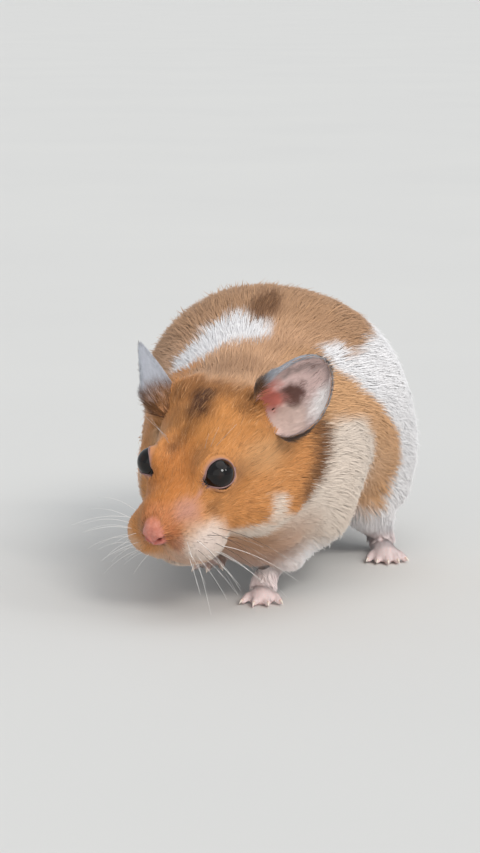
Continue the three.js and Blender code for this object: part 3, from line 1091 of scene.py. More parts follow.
@dataclass(frozen=True)
class EyeFinish:
    """A wet black eye with faint clouds of brown."""

    black: tuple = paint(10, 6, 4)
    brown: tuple = paint(40, 20, 12)

    def build(self, name: str) -> bpy.types.Material:
        """Builds the material.

        Args:
            name: Its name.

        Returns:
            The material.
        """
        p = Paint(name)
        cloud = p.noise(p.here(), 900.0, 2.0)
        colour = p.mix(cloud.step(0.45, 0.75) * 0.6, self.black, self.brown)
        return p.finish(Base_Color=colour, Roughness=0.06, Specular_IOR_Level=0.37)


@dataclass(frozen=True)
class HornFinish:
    """Claws: pale horn, pinker at the root."""

    root: tuple = paint(226, 178, 166)
    tip: tuple = paint(238, 226, 212)

    def build(self, name: str) -> bpy.types.Material:
        """Builds the material.

        Args:
            name: Its name.

        Returns:
            The material.
        """
        p = Paint(name)
        along, _, _ = p.split(p.attribute("strand"))
        streaks = p.noise(p.here(), 2600.0, 3.0)
        colour = p.mix((along + (streaks - 0.5) * 0.5).step(0.1, 0.8), self.root, self.tip)
        return p.finish(Base_Color=colour, Roughness=0.35 + streaks * 0.1)


@dataclass(frozen=True)
class WhiskerFinish:
    """Whiskers: white ones, and a few dark ones that fade to a pale tip."""

    white: tuple = paint(246, 242, 238)
    dark: tuple = paint(70, 50, 42)

    def build(self, name: str) -> bpy.types.Material:
        """Builds the material.

        Args:
            name: Its name.

        Returns:
            The material.
        """
        p = Paint(name)
        along, dark, _ = p.split(p.attribute("strand"))
        colour = p.mix(dark * along.step(1.2, 0.5), self.white, self.dark)
        return p.finish(Base_Color=colour, Roughness=0.4)


@dataclass(frozen=True)
class FloorFinish:
    """A plain pale floor with the faintest unevenness."""

    pale: tuple = paint(214, 212, 208)
    shade: tuple = paint(208, 206, 203)

    def build(self, name: str) -> bpy.types.Material:
        """Builds the material.

        Args:
            name: Its name.

        Returns:
            The material.
        """
        p = Paint(name)
        colour = p.mix(p.noise(p.here(), 6.0, 3.0), self.pale, self.shade)
        return p.finish(Base_Color=colour, Roughness=0.8)


# ---------------------------------------------------------------- skin


@dataclass
class Lids:
    """The rims of the lids: a ring that hugs each eye, with a pointed corner in front."""

    body: Body
    eye_radius: float = 3.15
    stand_off: float = 0.08
    thickness: float = 0.15
    opening: float = 80.0  # half angle of the opening round the way the eye looks, degrees
    narrowed: tuple = (8.0, 30.0)  # how much less it opens above and below
    narrowed_right: tuple = (18.0, 35.0)
    corner: float = 27.0  # how much further it opens at its front corner
    corner_at: float = -3.0
    around: int = 96
    sides: int = 10

    def basis(self) -> np.ndarray:
        """Works out how the left eye is held.

        Returns:
            The ways ahead, up and out from it as rows, in the frame of the head.
        """
        looks = unit(np.array(self.body.stance.eye_looks))
        ahead = unit(np.array([0.0, 1.0, 0.0]) - looks * looks[1])
        above = unit(np.array([0.0, 0.0, 1.0]) - looks * looks[2] - ahead * ahead[2])
        return np.stack([ahead, above, looks])

    def angle(self, turn: np.ndarray, sign: float) -> np.ndarray:
        """How far the lids open.

        Args:
            turn: The places round the eye, 0 in front and a quarter turn above.
            sign: 1 for the left eye and -1 for the right one.

        Returns:
            The half angle of the opening at each place, in radians.
        """
        off = np.angle(np.exp(1j * (turn - math.radians(self.corner_at))))
        back = np.angle(np.exp(1j * (turn - math.radians(self.corner_at + 180.0))))
        upward = np.sin(turn)
        above, below = self.narrowed if sign > 0 else self.narrowed_right
        angle = self.opening - above * upward.clip(0.0) ** 2 - below * (-upward).clip(0.0)
        return np.radians(angle + self.corner * bump(off, 0.3) - 6.0 * bump(back, 0.6))

    def line(self, sign: float) -> np.ndarray:
        """Works out the middle of the rim of one eye.

        Args:
            sign: 1 for the left eye and -1 for the right one.

        Returns:
            A line round the eye in the row frame, without its start at its end.
        """
        ahead, above, looks = self.basis()
        turn = np.linspace(-math.pi, math.pi, self.around, endpoint=False)
        angle = self.angle(turn, sign)
        ring = ahead * np.cos(turn)[:, None] + above * np.sin(turn)[:, None]
        ways = looks * np.cos(angle)[:, None] + ring * np.sin(angle)[:, None]
        away = ways * (self.eye_radius + self.stand_off)
        return self.body.from_head(on_side(self.body.stance.eye + away, sign))

    def loop(self, sign: float) -> np.ndarray:
        """The same line, led back to its start."""
        line = self.line(sign)
        return np.vstack([line, line[:1]])

    def frames(self, points: np.ndarray, sign: float) -> np.ndarray:
        """Finds what shows in the opening of the lids, as seen from the middle of the eye.

        Args:
            points: Points in the row frame.
            sign: 1 for the left eye and -1 for the right one.

        Returns:
            Whether each point shows.
        """
        ways = unit(on_side(self.body.to_head(points), sign) - np.array(self.body.stance.eye))
        ahead, above, out = self.basis() @ ways.T
        return np.arccos(out.clip(-1.0, 1.0)) < self.angle(np.arctan2(above, ahead), sign)

    def rim(self, sign: float) -> bpy.types.Object:
        """Builds the rim of one eye's lids.

        Args:
            sign: 1 for the left eye and -1 for the right one.

        Returns:
            The rim as a closed ring.
        """
        line = self.line(sign)
        turn = np.linspace(0.0, 2.0 * math.pi, self.around, endpoint=False)
        radii = self.thickness * MM * (1.0 + 0.12 * np.sin(turn * 9.0 + 1.0) * np.sin(turn * 4.0))
        points, faces = tube(line, radii, self.sides, closed=True)
        return object_from(f"lid_{sign:+.0f}", points, faces)


@dataclass
class Ear:
    """One ear: a leaf bent into a cup, with a rolled front rim and folds at its root."""

    body: Body
    name: str
    sign: float
    points: tuple  # the way it points, in the frame of the head
    opens: tuple  # the way its cup faces
    moved: tuple  # how far its root stands from the usual place (mm)
    length: float
    half_width: float
    tip_width: float  # its width at the tip, as a share of the widest
    tip_arc: float  # half angle of its cup at its tip, degrees
    wall: float = 0.55
    rim_wall: float = 0.26
    root: tuple = (10.2, -4.8, 9.2)
    skew: float = 2.2  # how far it leans forward at its tip (mm)
    widest: float = 0.42
    root_width: float = 0.7
    root_arc: float = 70.0
    taper: float = 2.0  # 2 gives a round tip and 1 a pointed one
    rolled: tuple = (1.25, 0.75)  # how far the front rim rolls over at the root, and how much less at the tip
    sunk: float = 0.16  # how far it runs on into the head, as a share of its length
    across: int = 45
    along: int = 46

    def width(self, s: np.ndarray) -> np.ndarray:
        """Works out the outline.

        Args:
            s: Places along the ear, as shares of its length.

        Returns:
            The width at each, as a share of the widest.
        """
        low = 1.0 - (1.0 - self.root_width) * (1.0 - s / self.widest) ** 2
        past = np.clip((s - self.widest) / (1.0 - self.widest), 0.0, 1.0)
        high = self.tip_width + (1.0 - self.tip_width) * (1.0 - past**self.taper) ** (1.0 / self.taper)
        return np.where(s < self.widest, low, high)

    def build(self) -> bpy.types.Object:
        """Builds the ear.

        Returns:
            The ear as a closed leaf, with its own coordinates in the attribute leaf.
        """
        v = np.linspace(0.0, 1.0, self.along)
        s = -self.sunk + (1.0 + self.sunk) * (1.0 - (1.0 - v) ** 1.35)
        t = np.linspace(-1.0, 1.0, self.across)
        loop = self.sections(t, s)
        t_loop = np.concatenate([t, t[::-1]])
        face = np.concatenate([np.ones(self.across), -np.ones(self.across)])
        along, across, facing = self.ways()
        centre = on_side(np.array(self.root) + self.moved, self.sign)
        place = centre + along * (self.length * s)[:, None, None]
        place = place + across * (loop[..., :1] - (self.skew * s**2)[:, None, None])
        place = place + facing * loop[..., 1:]
        points = self.body.from_head(place.reshape(-1, 3))
        return self.close(points, t_loop, s, face)

    def sections(self, t: np.ndarray, s: np.ndarray) -> np.ndarray:
        """Works out the bent sections of the ear.

        Args:
            t: The places across it, from -1 at the front edge to 1 at the back edge.
            s: The places along it, from 0 at the root to 1 at the tip, and under 0 inside the head.

        Returns:
            A loop round inner and outer face for each place along, as (to the back, out of the cup) in mm.
        """
        span = np.clip(s, 0.0, 1.0)
        half = self.half_width * self.width(np.maximum(s, 0.0))
        half = half * (1.0 - 0.45 * step(-s, -0.1, self.sunk))
        arc = np.radians(self.root_arc + (self.tip_arc - self.root_arc) * np.sqrt(span))
        bend = half / np.sin(arc)
        front = step(-t, 0.74, 1.0)[None] * (self.rolled[0] - self.rolled[1] * span[:, None])
        back = step(t, 0.84, 1.0)[None] * (0.55 - 0.2 * span[:, None])
        flow = 0.10 * np.sin(t[None] * 5.0 + span[:, None] * 4.0)
        heading = arc[:, None] * t[None] - front + back + flow * step(span, 0.15, 0.6)[:, None]
        pace = (bend * arc)[:, None] * (t[1] - t[0])
        middle = self.across // 2
        side = np.cumsum(np.cos(heading) * pace, axis=1)
        rise = np.cumsum(np.sin(heading) * pace, axis=1)
        side -= side[:, middle:middle + 1]
        rise -= rise[:, middle:middle + 1]
        edge = np.maximum(np.abs(t)[None] ** 6, span[:, None] ** 4)
        wall = self.wall + (self.rim_wall - self.wall) * edge
        inner = np.stack([side, rise], axis=-1)
        normal = np.stack([-np.sin(heading), np.cos(heading)], axis=-1)
        outer = inner - normal * wall[..., None]
        inner = inner + normal * self.folds(t, span)[..., None]
        return np.concatenate([inner, outer[:, ::-1]], axis=1)

    def ways(self) -> tuple[np.ndarray, np.ndarray, np.ndarray]:
        """Works out how the ear is held, in the frame of the head.

        Returns:
            The way it points, the way to its back edge and the way its cup faces.
        """
        along = unit(on_side(self.points, self.sign))
        opens = unit(on_side(self.opens, self.sign))
        facing = unit(opens - along * (opens @ along))
        across = unit(np.cross(facing, along))
        return along, across if across[2] < 0 else -across, facing

    def folds(self, t: np.ndarray, s: np.ndarray) -> np.ndarray:
        """How high the inner face is raised by its folds (mm).

        Args:
            t: The places across the ear.
            s: The places along it.

        Returns:
            One height for each place.
        """
        t, s = t[None], s[:, None]
        first = 0.75 * bump(t - (-0.58 + 0.5 * s), 0.13) * step(s, 0.02, 0.12) * step(s, 0.62, 0.3)
        second = 0.45 * bump(t - (0.02 + 0.35 * s), 0.12) * step(s, 0.05, 0.2) * step(s, 0.5, 0.3)
        third = 0.25 * bump(t - (0.5 - 0.2 * s), 0.16) * step(s, 0.12, 0.3) * step(s, 0.75, 0.5)
        veins = 0.05 * np.sin(t * 17.0 + s * 9.0) * step(s, 0.3, 0.6)
        return first + second + third + veins * (1.0 - np.abs(t) ** 4)

    def close(self, points: np.ndarray, t: np.ndarray, s: np.ndarray, face: np.ndarray) -> bpy.types.Object:
        """Makes the closed surface of the ear.

        Args:
            points: Its points, row by row along the ear.
            t: The place across the ear of each point of a row.
            s: The place along the ear of each row.
            face: 1 on the inner face and -1 on the outer one, for each point of a row.

        Returns:
            The ear.
        """
        ring, rows = len(t), len(s)
        a, b = ring_rows(rows - 1, ring)
        faces = [np.stack([a, b, b + ring], 1), np.stack([a, b + ring, a + ring], 1)]
        i = np.arange(self.across - 1)
        for first in (0, (rows - 1) * ring):
            near, far = first + i, first + ring - 1 - i
            cap = [np.stack([near, far, near + 1], 1), np.stack([near + 1, far, far - 1], 1)]
            faces += cap if first == 0 else [c[:, ::-1] for c in cap]
        ear = object_from(f"leaf_{self.name}", points, np.vstack(faces))
        leaf = np.zeros((rows, ring, 3))
        leaf[..., 0], leaf[..., 1], leaf[..., 2] = t[None], s[:, None], face[None]
        write_attribute(ear.data, "leaf", leaf.reshape(-1, 3))
        edit_all(ear, bpy.ops.mesh.normals_make_consistent, inside=False)
        return ear


@dataclass
class Skin:
    """One skin over head, trunk, legs, feet, tail and ears, sunk by the depth of the coat."""

    body: Body
    lids: Lids
    ears: list[Ear]
    voxel: float = 0.3
    bridged: float = 0.42  # how far the solids are swollen, so that the cuts between them close
    leg_bridged: float = 0.34
    foot_bridged: float = 0.12
    closed_by: float = 1.8
    filling: int = 5
    kept: float = 0.09  # share of the faces that are left where the coat hides the skin
    whole: tuple = (7.0, 6.5, 5.5)  # how far round nose, forelegs and eyes all faces are kept (mm)
    full_pads: float = 0.7  # how far the whisker pads and the chin stand out (mm)
    full_chin: float = 0.9
    muzzle_turned: float = 1.0  # how far the nose is held to the right of the middle (mm)
    nostril: tuple = ((0.55, 23.7, -6.0), (1.5, 23.3, -5.1), (2.15, 22.3, -4.5))
    groove: tuple = ((0.0, 22.4, -1.2), (0.0, 23.9, -3.6), (0.0, 23.6, -6.0))  # down the middle of the nose
    mouth_inside: tuple = (0.0, 13.0, -7.0)
    mouth: tuple = ((6.2, 10.8, -13.0), (4.2, 16.0, -13.0), (0.0, 19.0, -12.0))
    nose_foot: tuple = (0.0, 23.0, -6.8)
    forelegs: tuple = (
        ((9.0, -25.0, 13.0), (6.6, -26.5, 8.0), (4.6, -29.0, 4.0)),
        ((-11.5, -15.5, 14.5), (-9.2, -20.0, 12.9), (-6.4, -25.5, 12.0)),
    )
    upper_arms: tuple = (  # the middle of each in the frame of the trunk, and its radii (mm)
        (
            ((10.5, -21.5, 20.0), (9.2, -24.8, 13.5), (7.4, -27.2, 9.4), (6.4, -27.8, 7.2)),
            (1.0, 6.8, 6.4, 4.6),
        ),
        (((-10.5, -18.0, 22.0), (-11.3, -15.8, 15.5), (-10.4, -18.0, 13.6)), (1.0, 5.2, 4.2)),
    )
    arm_rings: int = 12
    arm_sides: int = 28
    obj: Any = None

    def build(self) -> bpy.types.Object:
        """Builds the skin.

        Returns:
            The finished skin, with its markings' attributes and its unwrap.
        """
        self.obj = self.fuse()
        self.label()
        self.fill_creases()
        self.thin_out()
        self.refine()
        self.sink()
        self.carve()
        self.add_parts()
        self.unwrap()
        log.info("skin: %d triangles", len(self.obj.data.loop_triangles))
        return self.obj

    def fuse(self) -> bpy.types.Object:
        """Joins the solids of flesh.

        Returns:
            One closed surface round all of them.
        """
        copies = []
        for name in FLESH:
            copy = bpy.data.objects.new(f"flesh_{name}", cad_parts[name].data.copy())
            bpy.context.scene.collection.objects.link(copy)
            edit_all(copy, bpy.ops.mesh.remove_doubles, threshold=1e-6)
            modify(copy, "DISPLACE", strength=self.swelling(name) * MM, mid_level=0.0)
            copies.append(copy)
        for line, radii in self.upper_arms:
            line = smooth_line(self.body.from_trunk(np.array(line)), self.arm_rings)
            at = np.linspace(0.0, 1.0, self.arm_rings)
            radii = np.interp(at, np.linspace(0.0, 1.0, len(radii)), radii) * MM
            copies.append(object_from("flesh_upper_arm", *tube(line, radii, self.arm_sides)))
        activate(*copies)
        bpy.ops.object.join()
        skin = bpy.context.view_layer.objects.active
        skin.name = skin.data.name = "skin"
        modify(skin, "REMESH", mode="VOXEL", voxel_size=self.voxel * MM, adaptivity=0.0)
        points = Graph(skin.data).fair(points_of(skin.data), 4)
        move_points(skin.data, points)
        move_points(skin.data, points + normals_of(skin.data) * self.closing(points)[:, None])
        modify(skin, "REMESH", mode="VOXEL", voxel_size=self.voxel * MM, adaptivity=0.0)
        move_points(skin.data, Graph(skin.data).fair(points_of(skin.data), 10))
        return skin

    def from_foreleg(self, points: np.ndarray) -> np.ndarray:
        """How far each point is from the middle of the nearer foreleg (mm)."""
        trunk = self.body.to_trunk(points)
        return np.min([distance_to_line(trunk, np.array(line))[0] for line in self.forelegs], axis=0)

    def closing(self, points: np.ndarray) -> np.ndarray:
        """Works out how far the skin swells and sinks again, which closes the creases behind the cheeks.

        Args:
            points: The vertices.

        Returns:
            One distance for each (m).
        """
        face = within(self.body.to_head(points), (0.0, 12.0, -2.0), (16.0, 15.0, 15.0), 0.35)
        free = (1.0 - face) * step(self.from_foreleg(points), 4.5, 9.0)
        return self.closed_by * MM * free * step(points[:, 2] / MM, 8.0, 14.0)

    def swelling(self, name: str) -> float:
        """How far one of the solids is swollen (mm)."""
        thin = self.leg_bridged if "leg" in name or name == "tail" else self.bridged
        return self.foot_bridged if "foot" in name else thin

    def nearest_node(self, points: np.ndarray) -> np.ndarray:
        """Finds which solid each point is nearest to.

        Args:
            points: Points in the row frame.

        Returns:
            The number of the solid in FLESH, for each point.
        """
        corners, faces, owner = [], [], []
        for number, name in enumerate(FLESH):
            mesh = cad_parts[name].data
            mesh.calc_loop_triangles()
            base = len(corners)
            corners.extend(v.co.copy() for v in mesh.vertices)
            faces.extend([base + k for k in t.vertices] for t in mesh.loop_triangles)
            owner.extend([number] * len(mesh.loop_triangles))
        tree = BVHTree.FromPolygons(corners, faces)
        return np.array([owner[tree.find_nearest(Vector(p))[2]] for p in points])

    def label(self) -> None:
        """Writes on each vertex which solid it belongs to."""
        number = self.nearest_node(points_of(self.obj.data))
        swelling = np.array([self.swelling(name) for name in FLESH])[number]
        labels = np.stack([number, swelling, np.zeros(len(number))], 1)
        write_attribute(self.obj.data, "part", labels)

    def part(self) -> np.ndarray:
        """The number in PARTS of the part that each vertex belongs to."""
        return np.rint(read_attribute(self.obj.data, "part")[:, 0]).astype(int)

    def bare_parts(self) -> np.ndarray:
        """Which vertices belong to the feet and the tail."""
        return np.array(["foot" in name or name == "tail" for name in PARTS])[self.part()]

    def fill_creases(self) -> None:
        """Rounds the creases between head, trunk and legs, so that both sides can sink without meeting."""
        mesh = self.obj.data
        graph = Graph(mesh)
        head = self.body.to_head(points_of(mesh))
        face = (self.part() == 0) & (head[:, 1] > 3.0) & (head[:, 2] > -9.0)
        free = graph.relax(np.where(self.bare_parts() | face, 0.0, 1.0), 8)
        for _ in range(self.filling):
            points, normals = points_of(mesh), normals_of(mesh)
            for _ in range(6):
                lift = ((graph.mean(points) - points) * normals).sum(1).clip(0.0)
                points = points + normals * (lift * free)[:, None]
            move_points(mesh, points)

    def thin_out(self) -> None:
        """Takes away faces where the coat hides the skin, all but on the feet and round eyes and nose."""
        points = points_of(self.obj.data)
        head = self.body.to_head(points)
        nose, foreleg, eye = self.whole
        plain = ~self.bare_parts()
        plain &= np.linalg.norm(head - [0.0, 20.0, -6.0], axis=1) > nose
        plain &= self.from_foreleg(points) > foreleg
        for _, sign in SIDES:
            plain &= self.body.from_eye(points, sign) > eye
        group = self.obj.vertex_groups.new(name="plain")
        group.add(np.nonzero(plain)[0].tolist(), 1.0, "REPLACE")
        ratio = 1.0 - plain.mean() * (1.0 - self.kept)
        modify(self.obj, "DECIMATE", decimate_type="COLLAPSE", ratio=ratio, vertex_group="plain",
               vertex_group_factor=1.0)
        self.obj.vertex_groups.clear()

    def refine(self) -> None:
        """Divides the faces round nose, mouth and eyes."""
        for reach, lid_reach in ((0.9, 1.7), (0.62, 0.8)):
            points = points_of(self.obj.data)
            head = self.body.to_head(points)
            chosen = within(head, (0, 21.6, -6.6), (4.6 * reach, 4.4 * reach, 6.2 * reach), 0.01) > 0.5
            for _, sign in SIDES:
                chosen |= distance_to_line(points, self.lids.loop(sign))[0] < lid_reach * MM
            activate(self.obj)
            bpy.ops.object.mode_set(mode="EDIT")
            bpy.ops.mesh.select_all(action="DESELECT")
            bpy.ops.object.mode_set(mode="OBJECT")
            self.obj.data.vertices.foreach_set("select", chosen)
            self.obj.data.update()
            bpy.ops.object.mode_set(mode="EDIT")
            bpy.ops.mesh.select_mode(type="VERT")
            bpy.ops.mesh.subdivide(number_cuts=1, smoothness=0.0)
            bpy.ops.object.mode_set(mode="OBJECT")
        modify(self.obj, "TRIANGULATE")

    def leg_limit(self, points: np.ndarray) -> np.ndarray:
        """The deepest that the skin may lie at each point, which keeps the forelegs whole (mm)."""
        return 0.7 + 0.3 * (self.from_foreleg(points) - 4.0).clip(0.0)

    def depth(self, points: np.ndarray, part: np.ndarray) -> np.ndarray:
        """How deep the skin lies under the tips of the coat (m).

        Args:
            points: The vertices.
            part: The solid of each.

        Returns:
            One depth for each vertex.
        """
        head = self.body.to_head(points)
        trunk = self.body.to_trunk(points)
        depth = np.full(len(points), 2.4)
        depth = np.where(trunk[:, 2] < 14.0, 2.0, depth)
        on_head = part == 0
        face = 1.3 + 0.7 * step(-head[:, 1], -4.0, 8.0)
        face = face + 0.5 * within(head, (14, -4, -8), (8, 9, 8), 0.5)
        face = face * (0.32 + 0.68 * step(np.linalg.norm(head - [0, 22.0, -4.5], axis=1), 4.0, 13.0))
        face = face * (1.0 - within(head, (0.0, 22.8, -4.4), (3.0, 2.6, 3.4), 0.15))
        depth[on_head] = face[on_head]
        thin = {"foreleg": 0.7, "hindleg": 0.9, "forefoot": 0.06, "hindfoot": 0.06, "tail": 0.3}
        for word, value in thin.items():
            depth[[FLESH[k].startswith(word) for k in part]] = value
        depth = np.minimum(depth, self.leg_limit(points))
        for _, sign in SIDES:
            depth = depth * (0.06 + 0.94 * step(self.body.from_eye(points, sign), 3.6, 7.0))
        return depth * MM

    def sink(self) -> None:
        """Moves the skin in by the depth of the coat."""
        mesh = self.obj.data
        graph = Graph(mesh)
        points = points_of(mesh)
        swelling = read_attribute(mesh, "part")[:, 1] * MM + self.closing(points)
        depth = graph.relax(self.depth(points, self.part()) + swelling, 14)
        depth = graph.relax(np.minimum(depth, swelling + self.leg_limit(points) * MM), 2)
        for _ in range(4):
            normals = unit(graph.relax(normals_of(mesh), 4))
            points = points_of(mesh) - normals * depth[:, None] / 4.0
            move_points(mesh, graph.relax(points, 1, np.where(depth > 0.4 * MM, 0.3, 0.0)[:, None]))
        points = points_of(mesh)
        trunk = self.body.to_trunk(points)
        legs = np.array(["leg" in name or "foot" in name for name in FLESH])[self.part()].astype(float)
        chest = within(trunk, (2.0, -20.0, 16.0), (25.0, 14.0, 11.0), 0.3) * (1.0 - graph.relax(legs, 4))
        move_points(mesh, graph.relax(points, 60, (0.5 * chest)[:, None]))
        points = points_of(mesh)
        head = self.body.to_head(points)
        full = self.full_pads * within(to_left(head), (6.5, 17.5, -8.0), (4.5, 6.0, 4.5), 0.6)
        full = full + self.full_chin * within(head, (0.0, 16.0, -13.0), (5.5, 5.0, 4.0), 0.6)
        move_points(mesh, points + unit(graph.relax(normals_of(mesh), 4)) * full[:, None] * MM)

    def tree(self) -> BVHTree:
        """The surface of the skin, for finding its nearest points."""
        faces = triangles_of(self.obj.data).tolist()
        return BVHTree.FromPolygons(points_of(self.obj.data).tolist(), faces, all_triangles=True)

    def hit(self, tree: BVHTree, inside: Sequence[float], towards: Sequence[float]) -> np.ndarray:
        """Where a line from inside the head comes out of the skin.

        Args:
            tree: The surface of the skin.
            inside: The start of the line, in the frame of the head (mm).
            towards: A point that it passes, in the same frame.

        Returns:
            The point in the row frame.
        """
        start, end = self.body.from_head([inside, towards])
        spot = tree.ray_cast(Vector(start), Vector(end - start))[0]
        return np.array(spot) if spot is not None else end

    def mouth_lines(self, tree: BVHTree) -> tuple[np.ndarray, np.ndarray]:
        """Works out where the mouth runs over the skin.

        Args:
            tree: The surface of the skin.

        Returns:
            The line of the lips, and the cleft from the nose down to it.
        """
        corner, lip, front = self.mouth
        marks = (corner, lip, front, on_side(lip, -1.0), on_side(corner, -1.0))
        row = [self.hit(tree, self.mouth_inside, mark) for mark in marks]
        cleft = [self.hit(tree, self.mouth_inside, mark) for mark in (self.nose_foot, front)]
        return smooth_line(row, 40), smooth_line(cleft, 12)

    def carve(self) -> None:
        """Shapes nose, mouth and the skin round the eyes, and writes where the skin is bare."""
        mesh = self.obj.data
        points = points_of(mesh)
        nose = within(self.body.to_head(points), (0.0, 23.0, -4.9), (2.6, 3.2, 4.9), 0.45)
        move, deep, lip = self.nose_and_mouth(points)
        points, lid = self.round_eyes(points + normals_of(mesh) * move[:, None] * MM)
        to_right = self.muzzle_turned * step(self.body.to_head(points)[:, 1], 12.5, 22.5) * MM
        move_points(mesh, points - self.body.axes[:, 0] * to_right[:, None])
        feet = self.bare_parts().astype(float)
        write_attribute(mesh, "bare", np.stack([nose, lid, lip], 1))
        write_attribute(mesh, "flesh", np.stack([deep, Graph(mesh).relax(feet, 6), feet * 0], 1))

    def nose_and_mouth(self, points: np.ndarray) -> tuple[np.ndarray, np.ndarray, np.ndarray]:
        """Works out the shape of nostrils, nose, cleft and lips.

        Args:
            points: The vertices.

        Returns:
            For each vertex: how far it moves out (mm), how deep in a fold it lies, and its share of lip.
        """
        head = self.body.to_head(points)
        move = np.zeros(len(points))
        deep = np.zeros(len(points))
        for _, sign in SIDES:
            gap = distance_to_line(head, smooth_line(on_side(self.nostril, sign), 10))[0]
            deep = np.maximum(deep, bump(gap, 0.42))
            move += 0.16 * bump(gap - 0.85, 0.35) - 0.95 * bump(gap, 0.4)
        move -= 0.16 * bump(distance_to_line(head, np.array(self.groove))[0], 0.4)
        lips, cleft = self.mouth_lines(self.tree())
        lip_gap = distance_to_line(points, lips)[0] / MM
        cleft_gap = distance_to_line(points, cleft)[0] / MM
        move -= 0.55 * bump(cleft_gap, 0.32) + 0.6 * bump(lip_gap, 0.34)
        move += 0.16 * bump(lip_gap - 0.8, 0.4) + 0.1 * bump(cleft_gap - 0.8, 0.4)
        lip = np.maximum(bump(lip_gap, 0.75), 0.7 * bump(cleft_gap, 0.55))
        deep = np.maximum(deep, 0.7 * np.maximum(bump(lip_gap, 0.22), bump(cleft_gap, 0.18)))
        return move, deep, lip

    def round_eyes(self, points: np.ndarray) -> tuple[np.ndarray, np.ndarray]:
        """Draws the skin to the rims of the lids.

        Args:
            points: The vertices.

        Returns:
            Their new places, and the share of lid of each, which is SOCKET behind the eyes.
        """
        lid = np.zeros(len(points))
        socket = np.zeros(len(points), bool)
        for _, sign in SIDES:
            gap, nearest = distance_to_line(points, self.lids.loop(sign))
            inside = (self.body.from_eye(points, sign) < 5.0) & self.lids.frames(points, sign)
            target = nearest + (nearest - self.body.eye_centre(sign)) * 0.02
            share = np.where(inside, 1.0, 0.75 * (1.0 - step(gap / MM, 0.3, 1.5)))
            points = points + (target - points) * share[:, None]
            lid = np.maximum(lid, bump(gap / MM, 0.8))
            socket |= inside
        return points, np.where(socket, SOCKET, lid)

    def dent(self, leaf: bpy.types.Object, ear: Ear) -> None:
        """Sinks the skin behind the cup of an ear, so that the cup opens at the head's surface.

        Args:
            leaf: The leaf of the ear.
            ear: Its sizes.
        """
        mesh = self.obj.data
        points = points_of(mesh)
        place = read_attribute(leaf.data, "leaf")
        cup = (place[:, 2] > 0) & (place[:, 1] > -0.12 * (1.0 - place[:, 0] ** 4))
        faces = triangles_of(leaf.data)
        faces = faces[cup[faces].all(axis=1)]
        tree = BVHTree.FromPolygons(points_of(leaf.data).tolist(), faces.tolist(), all_triangles=True)
        way = self.body.head_way(ear.ways()[2])[0]
        near = np.linalg.norm(points - points_of(leaf.data).mean(axis=0), axis=1) < 16.0 * MM
        push = np.zeros(len(points))
        for k in np.nonzero(near)[0]:
            gap = tree.ray_cast(Vector(points[k]), Vector(-way), 7.0 * MM)[3]
            if gap is not None:
                push[k] = gap + 0.6 * MM
        move_points(mesh, points - way * np.maximum(push, Graph(mesh).relax(push, 1) * 0.6)[:, None])
        flesh = read_attribute(mesh, "flesh")
        flesh[:, 2] = np.maximum(flesh[:, 2], step(push / MM, 0.1, 0.9))
        write_attribute(mesh, "flesh", flesh)

    def add_parts(self) -> None:
        """Joins lids and ears to the skin, each with its attributes."""
        write_attribute(self.obj.data, "leaf", np.zeros((len(self.obj.data.vertices), 3)))
        others = []
        for _, sign in SIDES:
            rim = self.lids.rim(sign)
            self.mark(rim, bare=(0.0, 1.0, 0.0), part=(PARTS.index("lid"), 0, 0))
            others.append(rim)
        for ear in self.ears:
            leaf = ear.build()
            self.dent(leaf, ear)
            self.mark(leaf, part=(PARTS.index("ear"), 0, 0))
            others.append(leaf)
        activate(self.obj, *others)
        bpy.ops.object.join()
        bpy.ops.object.shade_smooth()
        write_attribute(self.obj.data, "place", points_of(self.obj.data))
        # the skin reads as the roots of the tufts, so it takes the painted shade of the roots
        self.mark(self.obj, strand=(0.12, 0.0, 0.5))

    def mark(self, obj: bpy.types.Object, **vectors: tuple) -> None:
        """Writes the same vectors on all vertices of an object, each under its name."""
        for name, vector in vectors.items():
            write_attribute(obj.data, name, np.tile(vector, (len(obj.data.vertices), 1)))

    def unwrap(self) -> None:
        """Unwraps the skin by its own shape, under the name OFBake."""
        self.obj.data.uv_layers.new(name="OFBake")
        edit_all(self.obj, bpy.ops.uv.smart_project, angle_limit=math.radians(75.0), island_margin=0.001,
                 rotate_method="AXIS_ALIGNED")
        self.obj.data.calc_loop_triangles()


# ---------------------------------------------------------------- coat


@dataclass(frozen=True)
class Patch:
    """What the coat is like in one part of the body: sizes in mm, tufts to the square mm."""

    length: float
    width: float
    density: float
    height: float


class Region(Enum):
    """The parts of the coat."""

    MUZZLE = Patch(1.5, 0.12, 42.0, 0.46)
    FACE = Patch(2.6, 0.135, 34.0, 0.75)
    FOREHEAD = Patch(3.2, 0.145, 30.0, 0.95)
    CROWN = Patch(4.4, 0.17, 20.0, 1.4)
    CHEEK = Patch(4.2, 0.165, 22.0, 1.5)
    BODY = Patch(6.6, 0.2, 9.8, 1.9)
    BELLY = Patch(6.0, 0.25, 7.0, 1.9)
    LEG = Patch(3.2, 0.17, 14.0, 0.8)
    FOOT = Patch(1.0, 0.12, 18.0, 0.16)
    TAIL = Patch(1.3, 0.14, 14.0, 0.35)
    EAR = Patch(1.2, 0.09, 20.0, 0.22)


